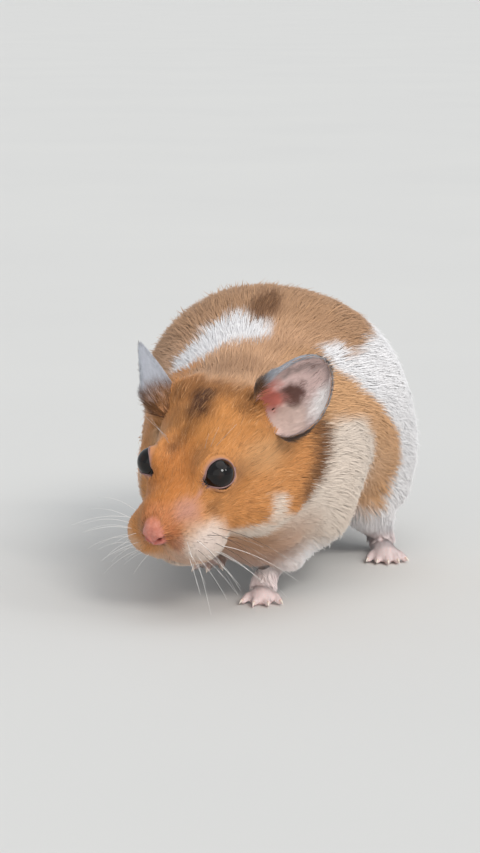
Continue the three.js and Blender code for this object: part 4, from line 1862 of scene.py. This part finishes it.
@dataclass
class Coat:
    """The fur: closed tufts that grow from the skin, follow its lie and gather into locks."""

    body: Body
    skin: Skin
    seed: int = 7
    most_in_piece: int = 32000
    gather: float = 0.23  # how far the tips of a lock draw together
    lock_share: float = 0.1  # one tuft in ten leads a lock
    stray: float = 0.14  # how far tufts stray sideways from the lie (radians)
    middle: float = 0.42  # where a tuft is widest, as a share of its length
    patch: float = 0.003  # size of a tuft on the unwrap

    def build(self) -> list[bpy.types.Object]:
        """Grows the coat.

        Returns:
            Its pieces.
        """
        self.read_skin()
        self.plan()
        return self.grow()

    def read_skin(self) -> None:
        """Reads the skin's surface and what is written on it."""
        mesh = self.skin.obj.data
        self.faces = triangles_of(mesh)
        uv = values_of(mesh.uv_layers["OFBake"].data, "uv", 2)
        self.uv = uv[values_of(mesh.loop_triangles, "loops", 3, np.int32)]
        self.points = points_of(mesh)
        self.graph = Graph(mesh)
        self.part = self.skin.part()
        self.leaf = read_attribute(mesh, "leaf")
        self.bare = read_attribute(mesh, "bare")
        self.deep, _, self.dented = read_attribute(mesh, "flesh").T
        self.normals = unit(self.graph.relax(normals_of(mesh), 3))
        self.surface = self.skin.tree()

    def blend(self, shares: list[tuple[Region, np.ndarray]], name: str) -> np.ndarray:
        """A size of the coat, mixed over the regions."""
        total = sum(share for _, share in shares)
        return sum(getattr(region.value, name) * share for region, share in shares) / np.maximum(total, 1e-6)

    def plan(self) -> None:
        """Works out the length, width, density, height and lie of the coat at each vertex."""
        head = self.body.to_head(self.points)
        trunk = self.body.to_trunk(self.points)
        names = np.array(PARTS)[self.part]
        self.mix_regions(head, trunk, names)
        self.vary(head, trunk)
        eye_gap, away = self.round_eyes()
        self.leave_bare(names, eye_gap)
        self.comb = self.lie(head, trunk, names, away)

    def mix_regions(self, head: np.ndarray, trunk: np.ndarray, names: np.ndarray) -> None:
        """Mixes the sizes of the coat over its regions.

        Args:
            head: The vertices in the frame of the head.
            trunk: The vertices in the frame of the trunk.
            names: The name of the part of each.
        """
        on_head = (names == "head").astype(float)
        words = ("fore", "hind", "tail", "ear")
        starts = {word: np.char.startswith(names, word).astype(float) for word in words}
        self.is_foot = np.char.find(names, "foot") >= 0
        leg = ((starts["fore"] + starts["hind"]) > 0) & ~self.is_foot
        from_nose = np.linalg.norm(head - [0, 22.5, -5.0], axis=1)
        muzzle = on_head * (1.0 - step(from_nose, 5.0, 11.5)) * 3.0
        crown = on_head * step(-head[:, 1], -3.0, 6.0) * step(head[:, 2], 2.0, 8.0)
        forehead = on_head * step(head[:, 2], 3.0, 8.0) * step(head[:, 1], -2.0, 4.0)
        cheek = on_head * step(-head[:, 1], -8.0, 2.0) * step(-head[:, 2], -3.0, 3.0) * 2.0
        body = np.isin(names, ["neck", "torso", "rump"]).astype(float)
        belly = body * step(-trunk[:, 2], -16.0, -9.0) * 3.0
        shares = [
            (Region.MUZZLE, muzzle), (Region.FACE, on_head * 0.5), (Region.FOREHEAD, forehead),
            (Region.CROWN, crown * 2.0), (Region.CHEEK, cheek), (Region.BODY, body), (Region.BELLY, belly),
            (Region.LEG, leg.astype(float)), (Region.FOOT, self.is_foot.astype(float)),
            (Region.TAIL, starts["tail"]), (Region.EAR, starts["ear"]),
        ]
        self.length = self.graph.relax(self.blend(shares, "length"), 12)
        self.width = self.graph.relax(self.blend(shares, "width"), 12)
        self.density = self.graph.relax(self.blend(shares, "density"), 4)
        self.height = self.graph.relax(self.blend(shares, "height"), 12)
        self.is_ear = starts["ear"] > 0
        self.is_short = (self.length < 2.2) | self.is_ear | self.is_foot
        self.on_head = on_head > 0

    def vary(self, head: np.ndarray, trunk: np.ndarray) -> None:
        """Changes the sizes of the coat round and on the ears, and on the right of the back.

        Args:
            head: The vertices in the frame of the head.
            trunk: The vertices in the frame of the trunk.
        """
        root = self.on_head * within(to_left(head), (8.6, -4.0, 12.6), (3.6, 4.2, 4.0), 0.5)
        self.length += 1.8 * root
        self.height += 1.2 * root
        backs = self.is_ear * step(-self.leaf[:, 2], 0.0, 0.5) * step(-self.leaf[:, 1], -0.5, -0.1)
        self.length += 2.2 * backs
        self.height += 0.5 * backs
        self.density *= 1.0 + 1.5 * backs
        brink = step(self.graph.relax(self.dented, 7), 0.02, 0.3)
        self.length *= 1.0 - 0.72 * brink
        self.height *= 1.0 - 0.7 * brink
        self.height += 1.5 * within(trunk, (-13.0, 6.0, 50.0), (14.0, 20.0, 14.0), 0.7)

    def round_eyes(self) -> tuple[np.ndarray, np.ndarray]:
        """Shortens the coat towards the rims of the lids, and leaves it out at the eyes.

        Returns:
            How far each vertex is from the nearer rim (mm), and ways that lead round the eyes.
        """
        eye_gap = np.full(len(self.points), FAR)
        away = np.zeros_like(self.points)
        for _, sign in SIDES:
            from_eye = self.body.from_eye(self.points, sign)
            near = from_eye < 14.0
            gap = np.full(len(self.points), FAR)
            gap[near] = distance_to_line(self.points[near], self.skin.lids.loop(sign))[0] / MM
            eye_gap = np.minimum(eye_gap, gap)
            outward = unit(self.points - self.body.eye_centre(sign))
            away += outward * bump(gap, 1.7)[:, None] * (gap < 20)[:, None]
            self.density[from_eye < 3.75] = 0.0
        self.length *= 0.3 + 0.7 * step(eye_gap, 0.3, 4.5)
        self.height *= 0.25 + 0.75 * step(eye_gap, 0.3, 4.5)
        return eye_gap, away

    def leave_bare(self, names: np.ndarray, eye_gap: np.ndarray) -> None:
        """Thins the coat where the skin is bare or has only down.

        Args:
            names: The name of the part of each vertex.
            eye_gap: How far each is from the nearer rim of the lids (mm).
        """
        nose = step(self.bare[:, 0], 0.25, 0.95) ** 0.7
        lip = step(self.bare[:, 2], 0.45, 0.8)
        deep = step(self.deep, 0.2, 0.5)
        lid = np.maximum(names == "lid", 1.0 - step(eye_gap, 0.25, 0.5))
        bare = np.max([nose, lip, deep, lid, self.dented], axis=0)
        sole = self.is_foot & (self.points[:, 2] < 1.0 * MM)
        self.density = self.density * (1.0 - bare) * ~sole
        inner = self.is_ear & (self.leaf[:, 2] > 0)
        self.density = np.where(inner, self.density * 0.35, self.density)
        self.density = np.where(self.is_ear & (self.leaf[:, 1] < 0.0), 0.0, self.density)

    def lie(self, head: np.ndarray, trunk: np.ndarray, names: np.ndarray, away: np.ndarray) -> np.ndarray:
        """The way in which the coat lies.

        Args:
            head: The vertices in the frame of the head.
            trunk: The vertices in the frame of the trunk.
            names: The name of the part of each.
            away: Ways that lead round the eyes.

        Returns:
            A unit vector along the surface for each vertex.
        """
        from_nose = unit(head - np.array([0.0, 27.0, -5.0]))
        from_nose[:, 2] -= 0.25 * step(-head[:, 2], -2.0, 6.0)
        back = self.body.head_way(from_nose)
        along = np.tile([0.0, 1.0, -0.3], (len(head), 1))
        along[:, 2] -= 0.55 * step(trunk[:, 1], 8.0, 34.0)
        along[:, 2] -= 0.45 * step(-trunk[:, 2], -26.0, -10.0) * step(trunk[:, 1], -34.0, -10.0)
        outward = 0.25 * np.sign(trunk[:, 0]) * step(np.abs(trunk[:, 0]), 2.0, 20.0)
        along[:, 0] += outward * step(trunk[:, 2], 30, 48)
        lie = along.copy()
        lie[names == "head"] = back[names == "head"]
        ways = {
            "foreleg": (0.0, 0.25, -1.0), "hindleg": (0.0, 0.5, -1.0), "forefoot": (0.0, -1.0, -0.2),
            "hindfoot": (0.1, -1.0, -0.2), "tail": (0.0, 1.0, -0.3),
        }
        for word, way in ways.items():
            lie[np.char.startswith(names, word)] = way
        for ear in self.skin.ears:
            lie[self.is_ear & (head[:, 0] * ear.sign > 0)] = self.body.head_way(ear.ways()[0])[0]
        lie = self.graph.relax(lie, 24) + away * 1.6
        lie = lie - (lie * self.normals).sum(1, keepdims=True) * self.normals
        return unit(lie)

    def sample(self, count_share: float) -> dict[str, np.ndarray]:
        """Draws the roots of all tufts.


        Returns:
            What is known at each root, by name.
        """
        draw = np.random.default_rng(self.seed)
        a, b, c = (self.points[self.faces[:, k]] for k in range(3))
        area = np.linalg.norm(np.cross(b - a, c - a), axis=1) / 2.0 / MM**2
        wanted = np.cumsum(area * self.density[self.faces].mean(axis=1)) * count_share
        count = int(wanted[-1])
        at = (np.arange(count) + draw.random(count)) * (wanted[-1] / count)
        face = np.minimum(np.searchsorted(wanted, at), len(wanted) - 1)
        u, v = np.sqrt(draw.random(count)), draw.random(count)
        weights = np.stack([1 - u, u * (1 - v), u * v], 1)

        def at_root(values: np.ndarray) -> np.ndarray:
            """Values of the vertices, read at the roots."""
            corners = values[self.faces[face]]
            return np.einsum("ik,ik...->i...", weights, corners)

        return {
            "root": at_root(self.points),
            "normal": unit(at_root(self.normals)),
            "comb": unit(at_root(self.comb)),
            **{name: at_root(getattr(self, name)) for name in ("length", "width", "height", "leaf")},
            "uv": np.einsum("ik,ikj->ij", weights, self.uv[face]),
            "short": self.is_short[self.faces[face]].all(axis=1),
            "ear": self.is_ear[self.faces[face]].all(axis=1),
            "head": self.on_head[self.faces[face]].all(axis=1),
            "draw": draw.random((count, 6)),
            "bell": draw.normal(size=(count, 3)),
        }

    def turned(self, ways: np.ndarray, normals: np.ndarray, angle: np.ndarray) -> np.ndarray:
        """Ways turned about the normals by an angle."""
        side = np.cross(normals, ways)
        return ways * np.cos(angle)[:, None] + side * np.sin(angle)[:, None]

    def walk(self, tufts: dict[str, np.ndarray], stops: Sequence[float]) -> np.ndarray:
        """Leads each tuft over the skin, along the lie of the coat.

        Args:
            tufts: What is known at each root.
            stops: The shares of the length at which a point is wanted.

        Returns:
            The points of each tuft, an array of tufts by stops.
        """
        root, normal = tufts["root"], tufts["normal"]
        bell, draw = tufts["bell"], tufts["draw"]
        length = tufts["length"] * MM * (1.0 + 0.16 * bell[:, 0]).clip(0.55, 1.5)
        wave = ripple(root / MM, 7.0, 3) * 0.2 + ripple(root / MM, 3.2, 4) * 0.12
        angle = self.stray * bell[:, 1] + wave * np.where(tufts["ear"], 0.3, 1.0)
        wild = np.where(draw[:, 0] > 0.97, 1.4, 1.0)
        height = tufts["height"] * MM * (0.8 + 0.35 * draw[:, 1]) * wild
        face_comb = unit(self.comb[self.faces].mean(axis=1))
        face_normal = unit(self.normals[self.faces].mean(axis=1))
        way = self.turned(tufts["comb"], normal, angle)
        foot = root.copy()
        result = [root - normal * 0.05 * MM]
        before = 0.0
        loose = tufts["ear"]
        for stop in stops:
            ahead = foot + way * (length * (stop - before))[:, None]
            before = stop
            found = [self.surface.find_nearest(Vector(p)) for p in ahead]
            spot = np.array([f[0] for f in found])
            face = np.array([f[2] for f in found])
            spot[loose] = ahead[loose]
            up = face_normal[face]
            up[loose] = normal[loose]
            foot = spot
            rise = height * (1.0 - (1.0 - stop) ** 2.2)
            result.append(foot + up * rise[:, None])
            onward = self.turned(face_comb[face], up, angle)
            onward[loose] = way[loose]
            way = unit(way + onward)
            way = unit(way - (way * up).sum(1, keepdims=True) * up)
        return np.stack(result, axis=1)

    def gather_locks(self, tufts: dict[str, np.ndarray], paths: np.ndarray,
                     stops: Sequence[float]) -> np.ndarray:
        """Draws the tips of neighbouring tufts together.

        Args:
            tufts: What is known at each root, to which the tone of each lock is added.
            paths: The points of each tuft.
            stops: The share of the length at each point after the root.

        Returns:
            The new points.
        """
        count = len(paths)
        draw = np.random.default_rng(self.seed + 1)
        leaders = np.sort(draw.choice(count, max(int(count * self.lock_share), 1), replace=False))
        tree = KDTree(len(leaders))
        for place, leader in enumerate(leaders):
            tree.insert(Vector(tufts["root"][leader]), place)
        tree.balance()
        shift = draw.normal(size=(count, 3)) * 0.25 * MM
        mine = np.array([tree.find(Vector(p))[1] for p in tufts["root"] + shift])
        leader = leaders[mine]
        tufts["lock_tone"] = draw.uniform(-1.0, 1.0, len(leaders))[mine]
        pull = self.gather * np.where(tufts["ear"] | tufts["short"], 0.35, 1.0)
        pull = pull * (0.6 + 0.8 * tufts["draw"][:, 2])
        for k, stop in enumerate(stops, start=1):
            share = (pull * stop**1.4).clip(0, 0.9)[:, None]
            paths[:, k] += (paths[leader, k] - paths[:, k]) * share * 0.85
        return paths

    def grow(self) -> list[bpy.types.Object]:
        """Makes the meshes of the coat, region by region.

        Returns:
            Its pieces.
        """
        tufts = self.sample(1.0)
        stops = (self.middle, 1.0)
        paths = self.walk(tufts, stops)
        paths = self.gather_locks(tufts, paths, stops)
        log.info("coat: %d tufts", len(paths))
        pieces = []
        for name, slot, chosen in self.regions(tufts):
            parts = max(1, math.ceil(len(chosen) / self.most_in_piece))
            for number, some in enumerate(np.array_split(chosen, parts)):
                label = name if parts == 1 else f"{name}_{number + 1}"
                piece = self.piece(label, tufts, paths, some)
                pieces.append(piece)
        return pieces

    def regions(self, tufts: dict[str, np.ndarray]) -> list[tuple[str, str, np.ndarray]]:
        """Divides the tufts among the coat's pieces.

        Args:
            tufts: What is known at each root.

        Returns:
            The name, a slot name that nothing uses, and the tufts of each region, front to back.
        """
        trunk = self.body.to_trunk(tufts["root"])
        head = self.body.to_head(tufts["root"])
        left = np.where(tufts["head"] | tufts["ear"], head[:, 0], trunk[:, 0]) > 0
        low = trunk[:, 2] < 13.0
        order = np.argsort(trunk[:, 1])
        table = []
        for name, sign in SIDES:
            mine = left if sign > 0 else ~left
            kinds = (
                (f"fur_ear_{name}", "ear_skin", tufts["ear"]),
                (f"fur_head_{name}", "fur_gold", tufts["head"]),
                (f"fur_low_{name}", "fur_white", ~tufts["ear"] & ~tufts["head"] & low),
                (f"fur_body_{name}", "fur_cream", ~tufts["ear"] & ~tufts["head"] & ~low),
            )
            table += [(label, slot, order[(mine & which)[order]]) for label, slot, which in kinds]
        return table

    def piece(self, name: str, tufts: dict[str, np.ndarray], paths: np.ndarray,
              some: np.ndarray) -> bpy.types.Object:
        """Makes one piece of the coat.

        Args:
            name: Its name.
            tufts: What is known at each root.
            paths: The points of each tuft.
            some: The tufts of this piece.

        Returns:
            The piece, with its attributes, its unwrap and soft normals.
        """
        line = paths[some]
        normal = tufts["normal"][some]
        ahead = unit(line[:, 2] - line[:, 0])
        side = unit(np.cross(ahead, normal))
        above = np.cross(side, ahead)
        width = (tufts["width"][some] * MM * (0.75 + 0.5 * tufts["draw"][some, 3]))[:, None]
        middle = line[:, 1]  # a tuft has a root, three points round its middle and a tip
        ring = [middle - side * width / 2.0, middle + above * width * 0.3, middle + side * width / 2.0]
        points = np.stack([line[:, 0], *ring, line[:, 2]], axis=1)
        points[..., 2] = points[..., 2].clip(0.03 * MM)
        one = np.array([(0, 2, 1), (0, 3, 2), (0, 1, 3), (1, 2, 4), (2, 3, 4), (3, 1, 4)])
        count, corners = len(some), points.shape[1]
        faces = (np.arange(count)[:, None, None] * corners + one[None]).reshape(-1, 3)
        piece = object_from(name, points.reshape(-1, 3), faces)
        mesh = piece.data
        each = np.repeat(np.arange(count), corners)
        # the share along the tuft also sets its painted shade, darker at the root
        along = np.tile([0.0, self.middle, self.middle, self.middle, 1.0], count)
        tone = 0.6 * tufts["lock_tone"][some] + 0.4 * (2.0 * tufts["draw"][some, 4] - 1.0)
        strand = np.stack([along, tone[each], tufts["draw"][some, 5][each]], 1)
        write_attribute(mesh, "place", (line[:, 1] * 0.45 + line[:, 2] * 0.55)[each])
        write_attribute(mesh, "strand", strand)
        leaf = tufts["leaf"][some].copy()
        leaf[:, 2] = np.where(tufts["ear"][some], np.sign(leaf[:, 2]), 0.0)
        write_attribute(mesh, "leaf", leaf[each])
        across = np.tile([0.0, -1.0, 0.0, 1.0, 0.0], count)[:, None]
        soft = unit(normal[each] + side[each] * across * 0.4 + above[each] * 0.3)
        mesh.normals_split_custom_set_from_vertices(soft.astype(np.float32))
        patch = np.column_stack([across * 0.5, along - 0.5]) * self.patch
        self.write_uv(mesh, tufts["uv"][some][each] + patch, faces)
        return piece

    def write_uv(self, mesh: bpy.types.Mesh, uv: np.ndarray, faces: np.ndarray) -> None:
        """Gives each vertex its place on the skin's unwrap, a small patch for each tuft."""
        layer = mesh.uv_layers.new(name="OFBake")
        layer.data.foreach_set("uv", uv[faces.ravel()].clip(0.0, 1.0).astype(np.float32).ravel())


# ---------------------------------------------------------------- eyes, claws and whiskers


@dataclass
class Eyes:
    """The two eyeballs, with a slightly domed front."""

    body: Body
    radius: float = 3.15
    dome: float = 0.08
    segments: int = 64
    rings: int = 40

    def build(self) -> list[bpy.types.Object]:
        """Builds both eyes in place of their solids.

        Returns:
            The left and the right eye.
        """
        eyes = []
        for name, sign in SIDES:
            centre = self.body.eye_centre(sign)
            way = Vector(self.body.head_way(on_side(self.body.stance.eye_looks, sign))[0])
            bpy.ops.object.select_all(action="DESELECT")
            bpy.ops.mesh.primitive_uv_sphere_add(
                segments=self.segments, ring_count=self.rings, radius=self.radius * MM)
            eye = bpy.context.active_object
            eye.name = eye.data.name = f"eyeball_{name}"
            turn = way.to_track_quat("Z", "Y").to_matrix().to_4x4()
            points = points_of(eye.data)
            share = step(points[:, 2] / (self.radius * MM), 0.55, 1.0)
            points[:, 2] += share * self.dome * MM
            move_points(eye.data, points)
            eye.data.transform(Matrix.Translation(Vector(centre)) @ turn)
            activate(eye)
            bpy.ops.object.shade_smooth()
            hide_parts(f"eye_{name}")
            eyes.append(eye)
        return eyes


@dataclass
class Claws:
    """The claws: a curved horn on each toe of each foot."""

    body: Body
    feet: tuple = (
        # name, ankle [left, back, up], droop, length, half width, toes, toe length, toe radius, fan, out
        ("foreleg_left", (4.6, -29.0, 4.0), 0.0, 5.6, 2.8, 4, 4.7, 0.8, 50.0, 8.0),
        ("foreleg_right", (-6.4, -25.5, 12.0), 14.0, 5.6, 2.8, 4, 4.7, 0.8, 50.0, 8.0),
        ("hindleg_left", (21.6, 23.0, 4.0), 0.0, 11.8, 3.1, 5, 5.2, 0.82, 46.0, 14.0),
        ("hindleg_right", (-21.6, 23.0, 4.0), 0.0, 11.8, 3.1, 5, 5.2, 0.82, 46.0, 14.0),
    )
    ankle_height: float = 4.0
    length: float = 2.0
    radius: float = 0.4
    profile: tuple = (0.9, 1.0, 0.9, 0.74, 0.54, 0.32, 0.1)  # shares of the radius, root to tip
    sides: int = 8

    def build(self) -> bpy.types.Object:
        """Builds all claws.

        Returns:
            The claws as one piece.
        """
        rods = []
        for name, ankle, droop, length, half, toes, toe_length, toe_radius, fan, out in self.feet:
            sign = 1.0 if name.endswith("left") else -1.0
            turn = Matrix.Rotation(math.radians(droop), 3, "X")
            yaw = Matrix.Rotation(math.radians(out) * sign, 3, "Z")
            axes = [turn @ (yaw @ Vector(w)) for w in ((0, -1, 0), (sign, 0, 0), (0, 0, 1))]
            axes = np.array([list(a) for a in axes])
            for toe in range(toes):
                share = toe / (toes - 1) - 0.5
                spread = math.radians(fan * share)
                start = length - 0.8 - abs(share) * 2.2
                reach = toe_length - 0.7 * toe_length * share * share
                ahead = np.array([math.cos(spread), math.sin(spread), 0.0])
                first = np.array([start, share * half * 1.5, 0.0]) + ahead * (reach - 0.15)
                line = []
                for t in np.linspace(0.0, 1.0, len(self.profile)):
                    rise = toe_radius + 0.42 * math.sin(t * 2.3) - 0.62 * t * t
                    line.append(first + ahead * self.length * t + [0, 0, rise - self.ankle_height])
                line = self.body.from_trunk(np.array(ankle) + np.array(line) @ axes)
                rods.append((line, self.radius * MM * np.array(self.profile), 0.0))
        claws = tubes("claws", rods, self.sides)
        return claws


@dataclass
class Whiskers:
    """The whiskers of both pads, over the eyes and on the cheeks."""

    body: Body
    skin: Skin
    seed: int = 21
    inside: tuple = (0.0, 12.0, -6.0)
    root_radius: float = 0.052
    tip_radius: float = 0.016
    points: int = 14
    sides: int = 5

    def build(self) -> bpy.types.Object:
        """Builds all whiskers.

        Returns:
            The whiskers as one piece.
        """
        draw = np.random.default_rng(self.seed)
        tree = self.skin.tree()
        t = np.linspace(0.0, 1.0, self.points)[:, None]
        rods = []
        for root, way, droop, length, dark in self.plan(draw):
            start = self.skin.hit(tree, self.inside, root)
            way = self.body.head_way(way)[0]
            line = start + way * length * MM * t + np.array(droop) * length * MM * t**2
            line[:, 2] = np.maximum(line[:, 2], 0.6 * MM)
            line[0] -= way * 0.4 * MM
            radii = MM * (self.root_radius + (self.tip_radius - self.root_radius) * t[:, 0])
            rods.append((line, radii * min(1.0, 0.6 + length / 40.0), dark))
        whiskers = tubes("whiskers", rods, self.sides)
        return whiskers

    def plan(self, draw: np.random.Generator) -> list[tuple]:
        """Where each whisker grows and how it goes.

        Args:
            draw: The source of the small differences between them.

        Returns:
            For each: a point that its root faces, its way (both in the frame of the head), how it bends,
            its length (mm) and whether it is dark.
        """
        plan = []
        for _, sign in SIDES:
            for row in range(4):
                for place in range(5):
                    back = place / 4.0
                    up = -5.2 - row * 1.75 + 0.5 * back
                    root = (sign * (4.6 + 3.4 * back), 19.6 - 4.8 * back, up - 0.4)
                    way = [sign * (0.75 + 0.25 * back), 0.55 - 0.95 * back, 0.12 - row * 0.17]
                    if sign > 0:
                        way[2] -= 0.3
                    way = np.array(way) + draw.normal(size=3) * 0.16
                    length = (8.0 + 9.5 * back) * (1.0 - 0.07 * row) * draw.uniform(0.6, 1.15)
                    droop = (0.0, 0.05, -0.25 - 0.1 * draw.random())
                    dark = 1.0 if row < 2 and draw.random() < 0.3 else 0.0
                    plan.append((root, way, droop, length, dark))
            for k in range(3):
                root = (sign * (4.4 + k * 0.8), 7.5 - k, 9.8)
                way = np.array([sign * (0.35 + 0.15 * k), 0.25, 0.9]) + draw.normal(size=3) * 0.08
                plan.append((root, way, (0.0, 0.25, 0.0), 5.0 + 2.0 * k, 0.6))
        return plan


# ---------------------------------------------------------------- the scene


@dataclass
class Studio:
    """The floor, the light and the camera."""

    body: Body
    azimuth: float = 11.5
    elevation: float = 9.5
    distance: float = 0.55
    pixel: float = 0.0002  # metres at the eye that one pixel of the picture covers
    eye_pixel: tuple = (219.0, 474.0)
    picture: tuple = (480.0, 853.0)
    floor_radius: float = 14.0
    film: float = 36.0  # height of the camera's film (mm)
    suns: tuple = (
        # name, how far it stands to the right, up and towards the camera, strength, size (degrees), tint
        ("sky", (0.25, 0.9, 0.25), 0.8, 70.0, (1.0, 0.98, 0.96)),
        ("catch", (0.36, 0.48, 0.8), 1.22, 18.0, (1.0, 0.98, 0.95)),
        ("fill", (0.74, 0.48, 0.48), 0.25, 9.0, (1.0, 0.98, 0.95)),
        ("glow", (-0.1, -0.1, 1.0), 0.82, 90.0, (1.0, 0.93, 0.86)),
    )

    def build(self) -> None:
        """Builds floor, light and camera."""
        self.floor()
        self.light()
        self.camera()

    def back(self) -> Vector:
        """The way from the animal back to the camera."""
        a, e = math.radians(self.azimuth), math.radians(self.elevation)
        return Vector((math.sin(a) * math.cos(e), -math.cos(a) * math.cos(e), math.sin(e)))

    def camera(self) -> None:
        """Sets the camera so that the left eye falls on its place in the picture."""
        camera = bpy.data.objects.new("camera", bpy.data.cameras.new("camera"))
        bpy.context.scene.collection.objects.link(camera)
        back = self.back()
        turn = back.to_track_quat("Z", "Y")
        right, up = turn @ Vector((1, 0, 0)), turn @ Vector((0, 1, 0))
        eye = Vector(self.body.eye_centre(1.0))
        aside = (self.eye_pixel[0] - self.picture[0] / 2.0) * self.pixel
        below = (self.eye_pixel[1] - self.picture[1] / 2.0) * self.pixel
        camera.location = eye + back * self.distance - right * aside + up * below
        camera.rotation_euler = turn.to_euler()
        camera.data.sensor_fit = "VERTICAL"
        camera.data.sensor_height = self.film
        camera.data.lens = self.distance / self.pixel * self.film / self.picture[1]
        camera.data.clip_start = 0.01
        camera.data.clip_end = 60.0
        bpy.context.scene.camera = camera

    def floor(self) -> None:
        """A plain floor."""
        bpy.ops.object.select_all(action="DESELECT")
        bpy.ops.mesh.primitive_circle_add(vertices=96, radius=self.floor_radius, fill_type="NGON")
        floor = bpy.context.active_object
        floor.name = floor.data.name = "floor"
        floor.data.materials.append(FloorFinish().build("floor"))

    def sun(self, name: str, stands: tuple, strength: float, angle: float, tint: tuple) -> None:
        """Adds a soft sun.

        Args:
            name: Its name.
            stands: How far it stands to the right, up and towards the camera, as seen by the camera.
            strength: Its strength.
            angle: How large it looks, in degrees.
            tint: Its colour.
        """
        lamp = bpy.data.objects.new(name, bpy.data.lights.new(name, "SUN"))
        lamp.data.energy = strength
        lamp.data.angle = math.radians(angle)
        lamp.data.color = tint
        turn = self.back().to_track_quat("Z", "Y")
        way = turn @ Vector(stands).normalized()
        lamp.rotation_euler = way.to_track_quat("Z", "Y").to_euler()
        bpy.context.scene.collection.objects.link(lamp)

    def light(self) -> None:
        """A pale surround, and the suns."""
        scene = bpy.context.scene
        scene.view_settings.view_transform = "Standard"
        world = bpy.data.worlds.new("surround")
        world.use_nodes = True
        sky = world.node_tree.nodes["Background"].inputs
        sky["Color"].default_value = (0.86, 0.93, 1.0, 1.0)
        sky["Strength"].default_value = 0.6
        scene.world = world
        for sun in self.suns:
            self.sun(*sun)


def write_sizes() -> None:
    """Does nothing: the helper in it, which rounds two corners to plain numbers, is never called."""

    def plain(box: Any) -> list:
        """Two corners as plain numbers."""
        return [[round(float(v), 6) for v in corner] for corner in box]


def main() -> None:
    """Builds the animal and its scene."""
    logging.basicConfig(level=logging.INFO, format="%(name)s: %(message)s")
    bpy.ops.object.select_all(action="DESELECT")
    body = Body(Stance())
    lids = Lids(body)
    ears = [
        Ear(body, "left", 1.0, (0.85, -0.215, 0.492), (0.137, 0.971, 0.144), (0.41, -3.01, 0.86),
            length=16.4, half_width=7.05, root_width=0.8, tip_width=0.02, root_arc=59.5, tip_arc=31.3,
            skew=2.86, rolled=(1.9, 1.2)),
        Ear(body, "right", -1.0, (0.83, -0.5, 0.6), (0.76, 0.3, -0.38), (-2.4, 0.0, -1.4),
            length=18.2, half_width=7.0, widest=0.36, tip_width=0.04, tip_arc=50.0, taper=1.1),
    ]
    finish = CoatFinish()
    skin = Skin(body, lids, ears)
    surface = skin.build()
    surface.data.materials.clear()
    surface.data.materials.append(finish.build(body, "skin", bare=True))
    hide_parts(*FLESH, "ear_left", "ear_right")
    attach(surface, "root")
    fur = finish.build(body, "coat", bare=False)
    for piece in Coat(body, skin).build():
        piece.data.materials.append(fur)
        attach(piece, "root")
        log.info("%s: %d triangles", piece.name, len(piece.data.polygons))
    gloss = EyeFinish().build("eye_gloss")
    for eye in Eyes(body).build():
        eye.data.materials.append(gloss)
        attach(eye, "root")
    claws = Claws(body).build()
    claws.data.materials.append(HornFinish().build("horn"))
    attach(claws, "root")
    whiskers = Whiskers(body, skin).build()
    whiskers.data.materials.append(WhiskerFinish().build("whisker"))
    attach(whiskers, "root")
    Studio(body).build()
    write_sizes()


if __name__ == "__main__":
    main()
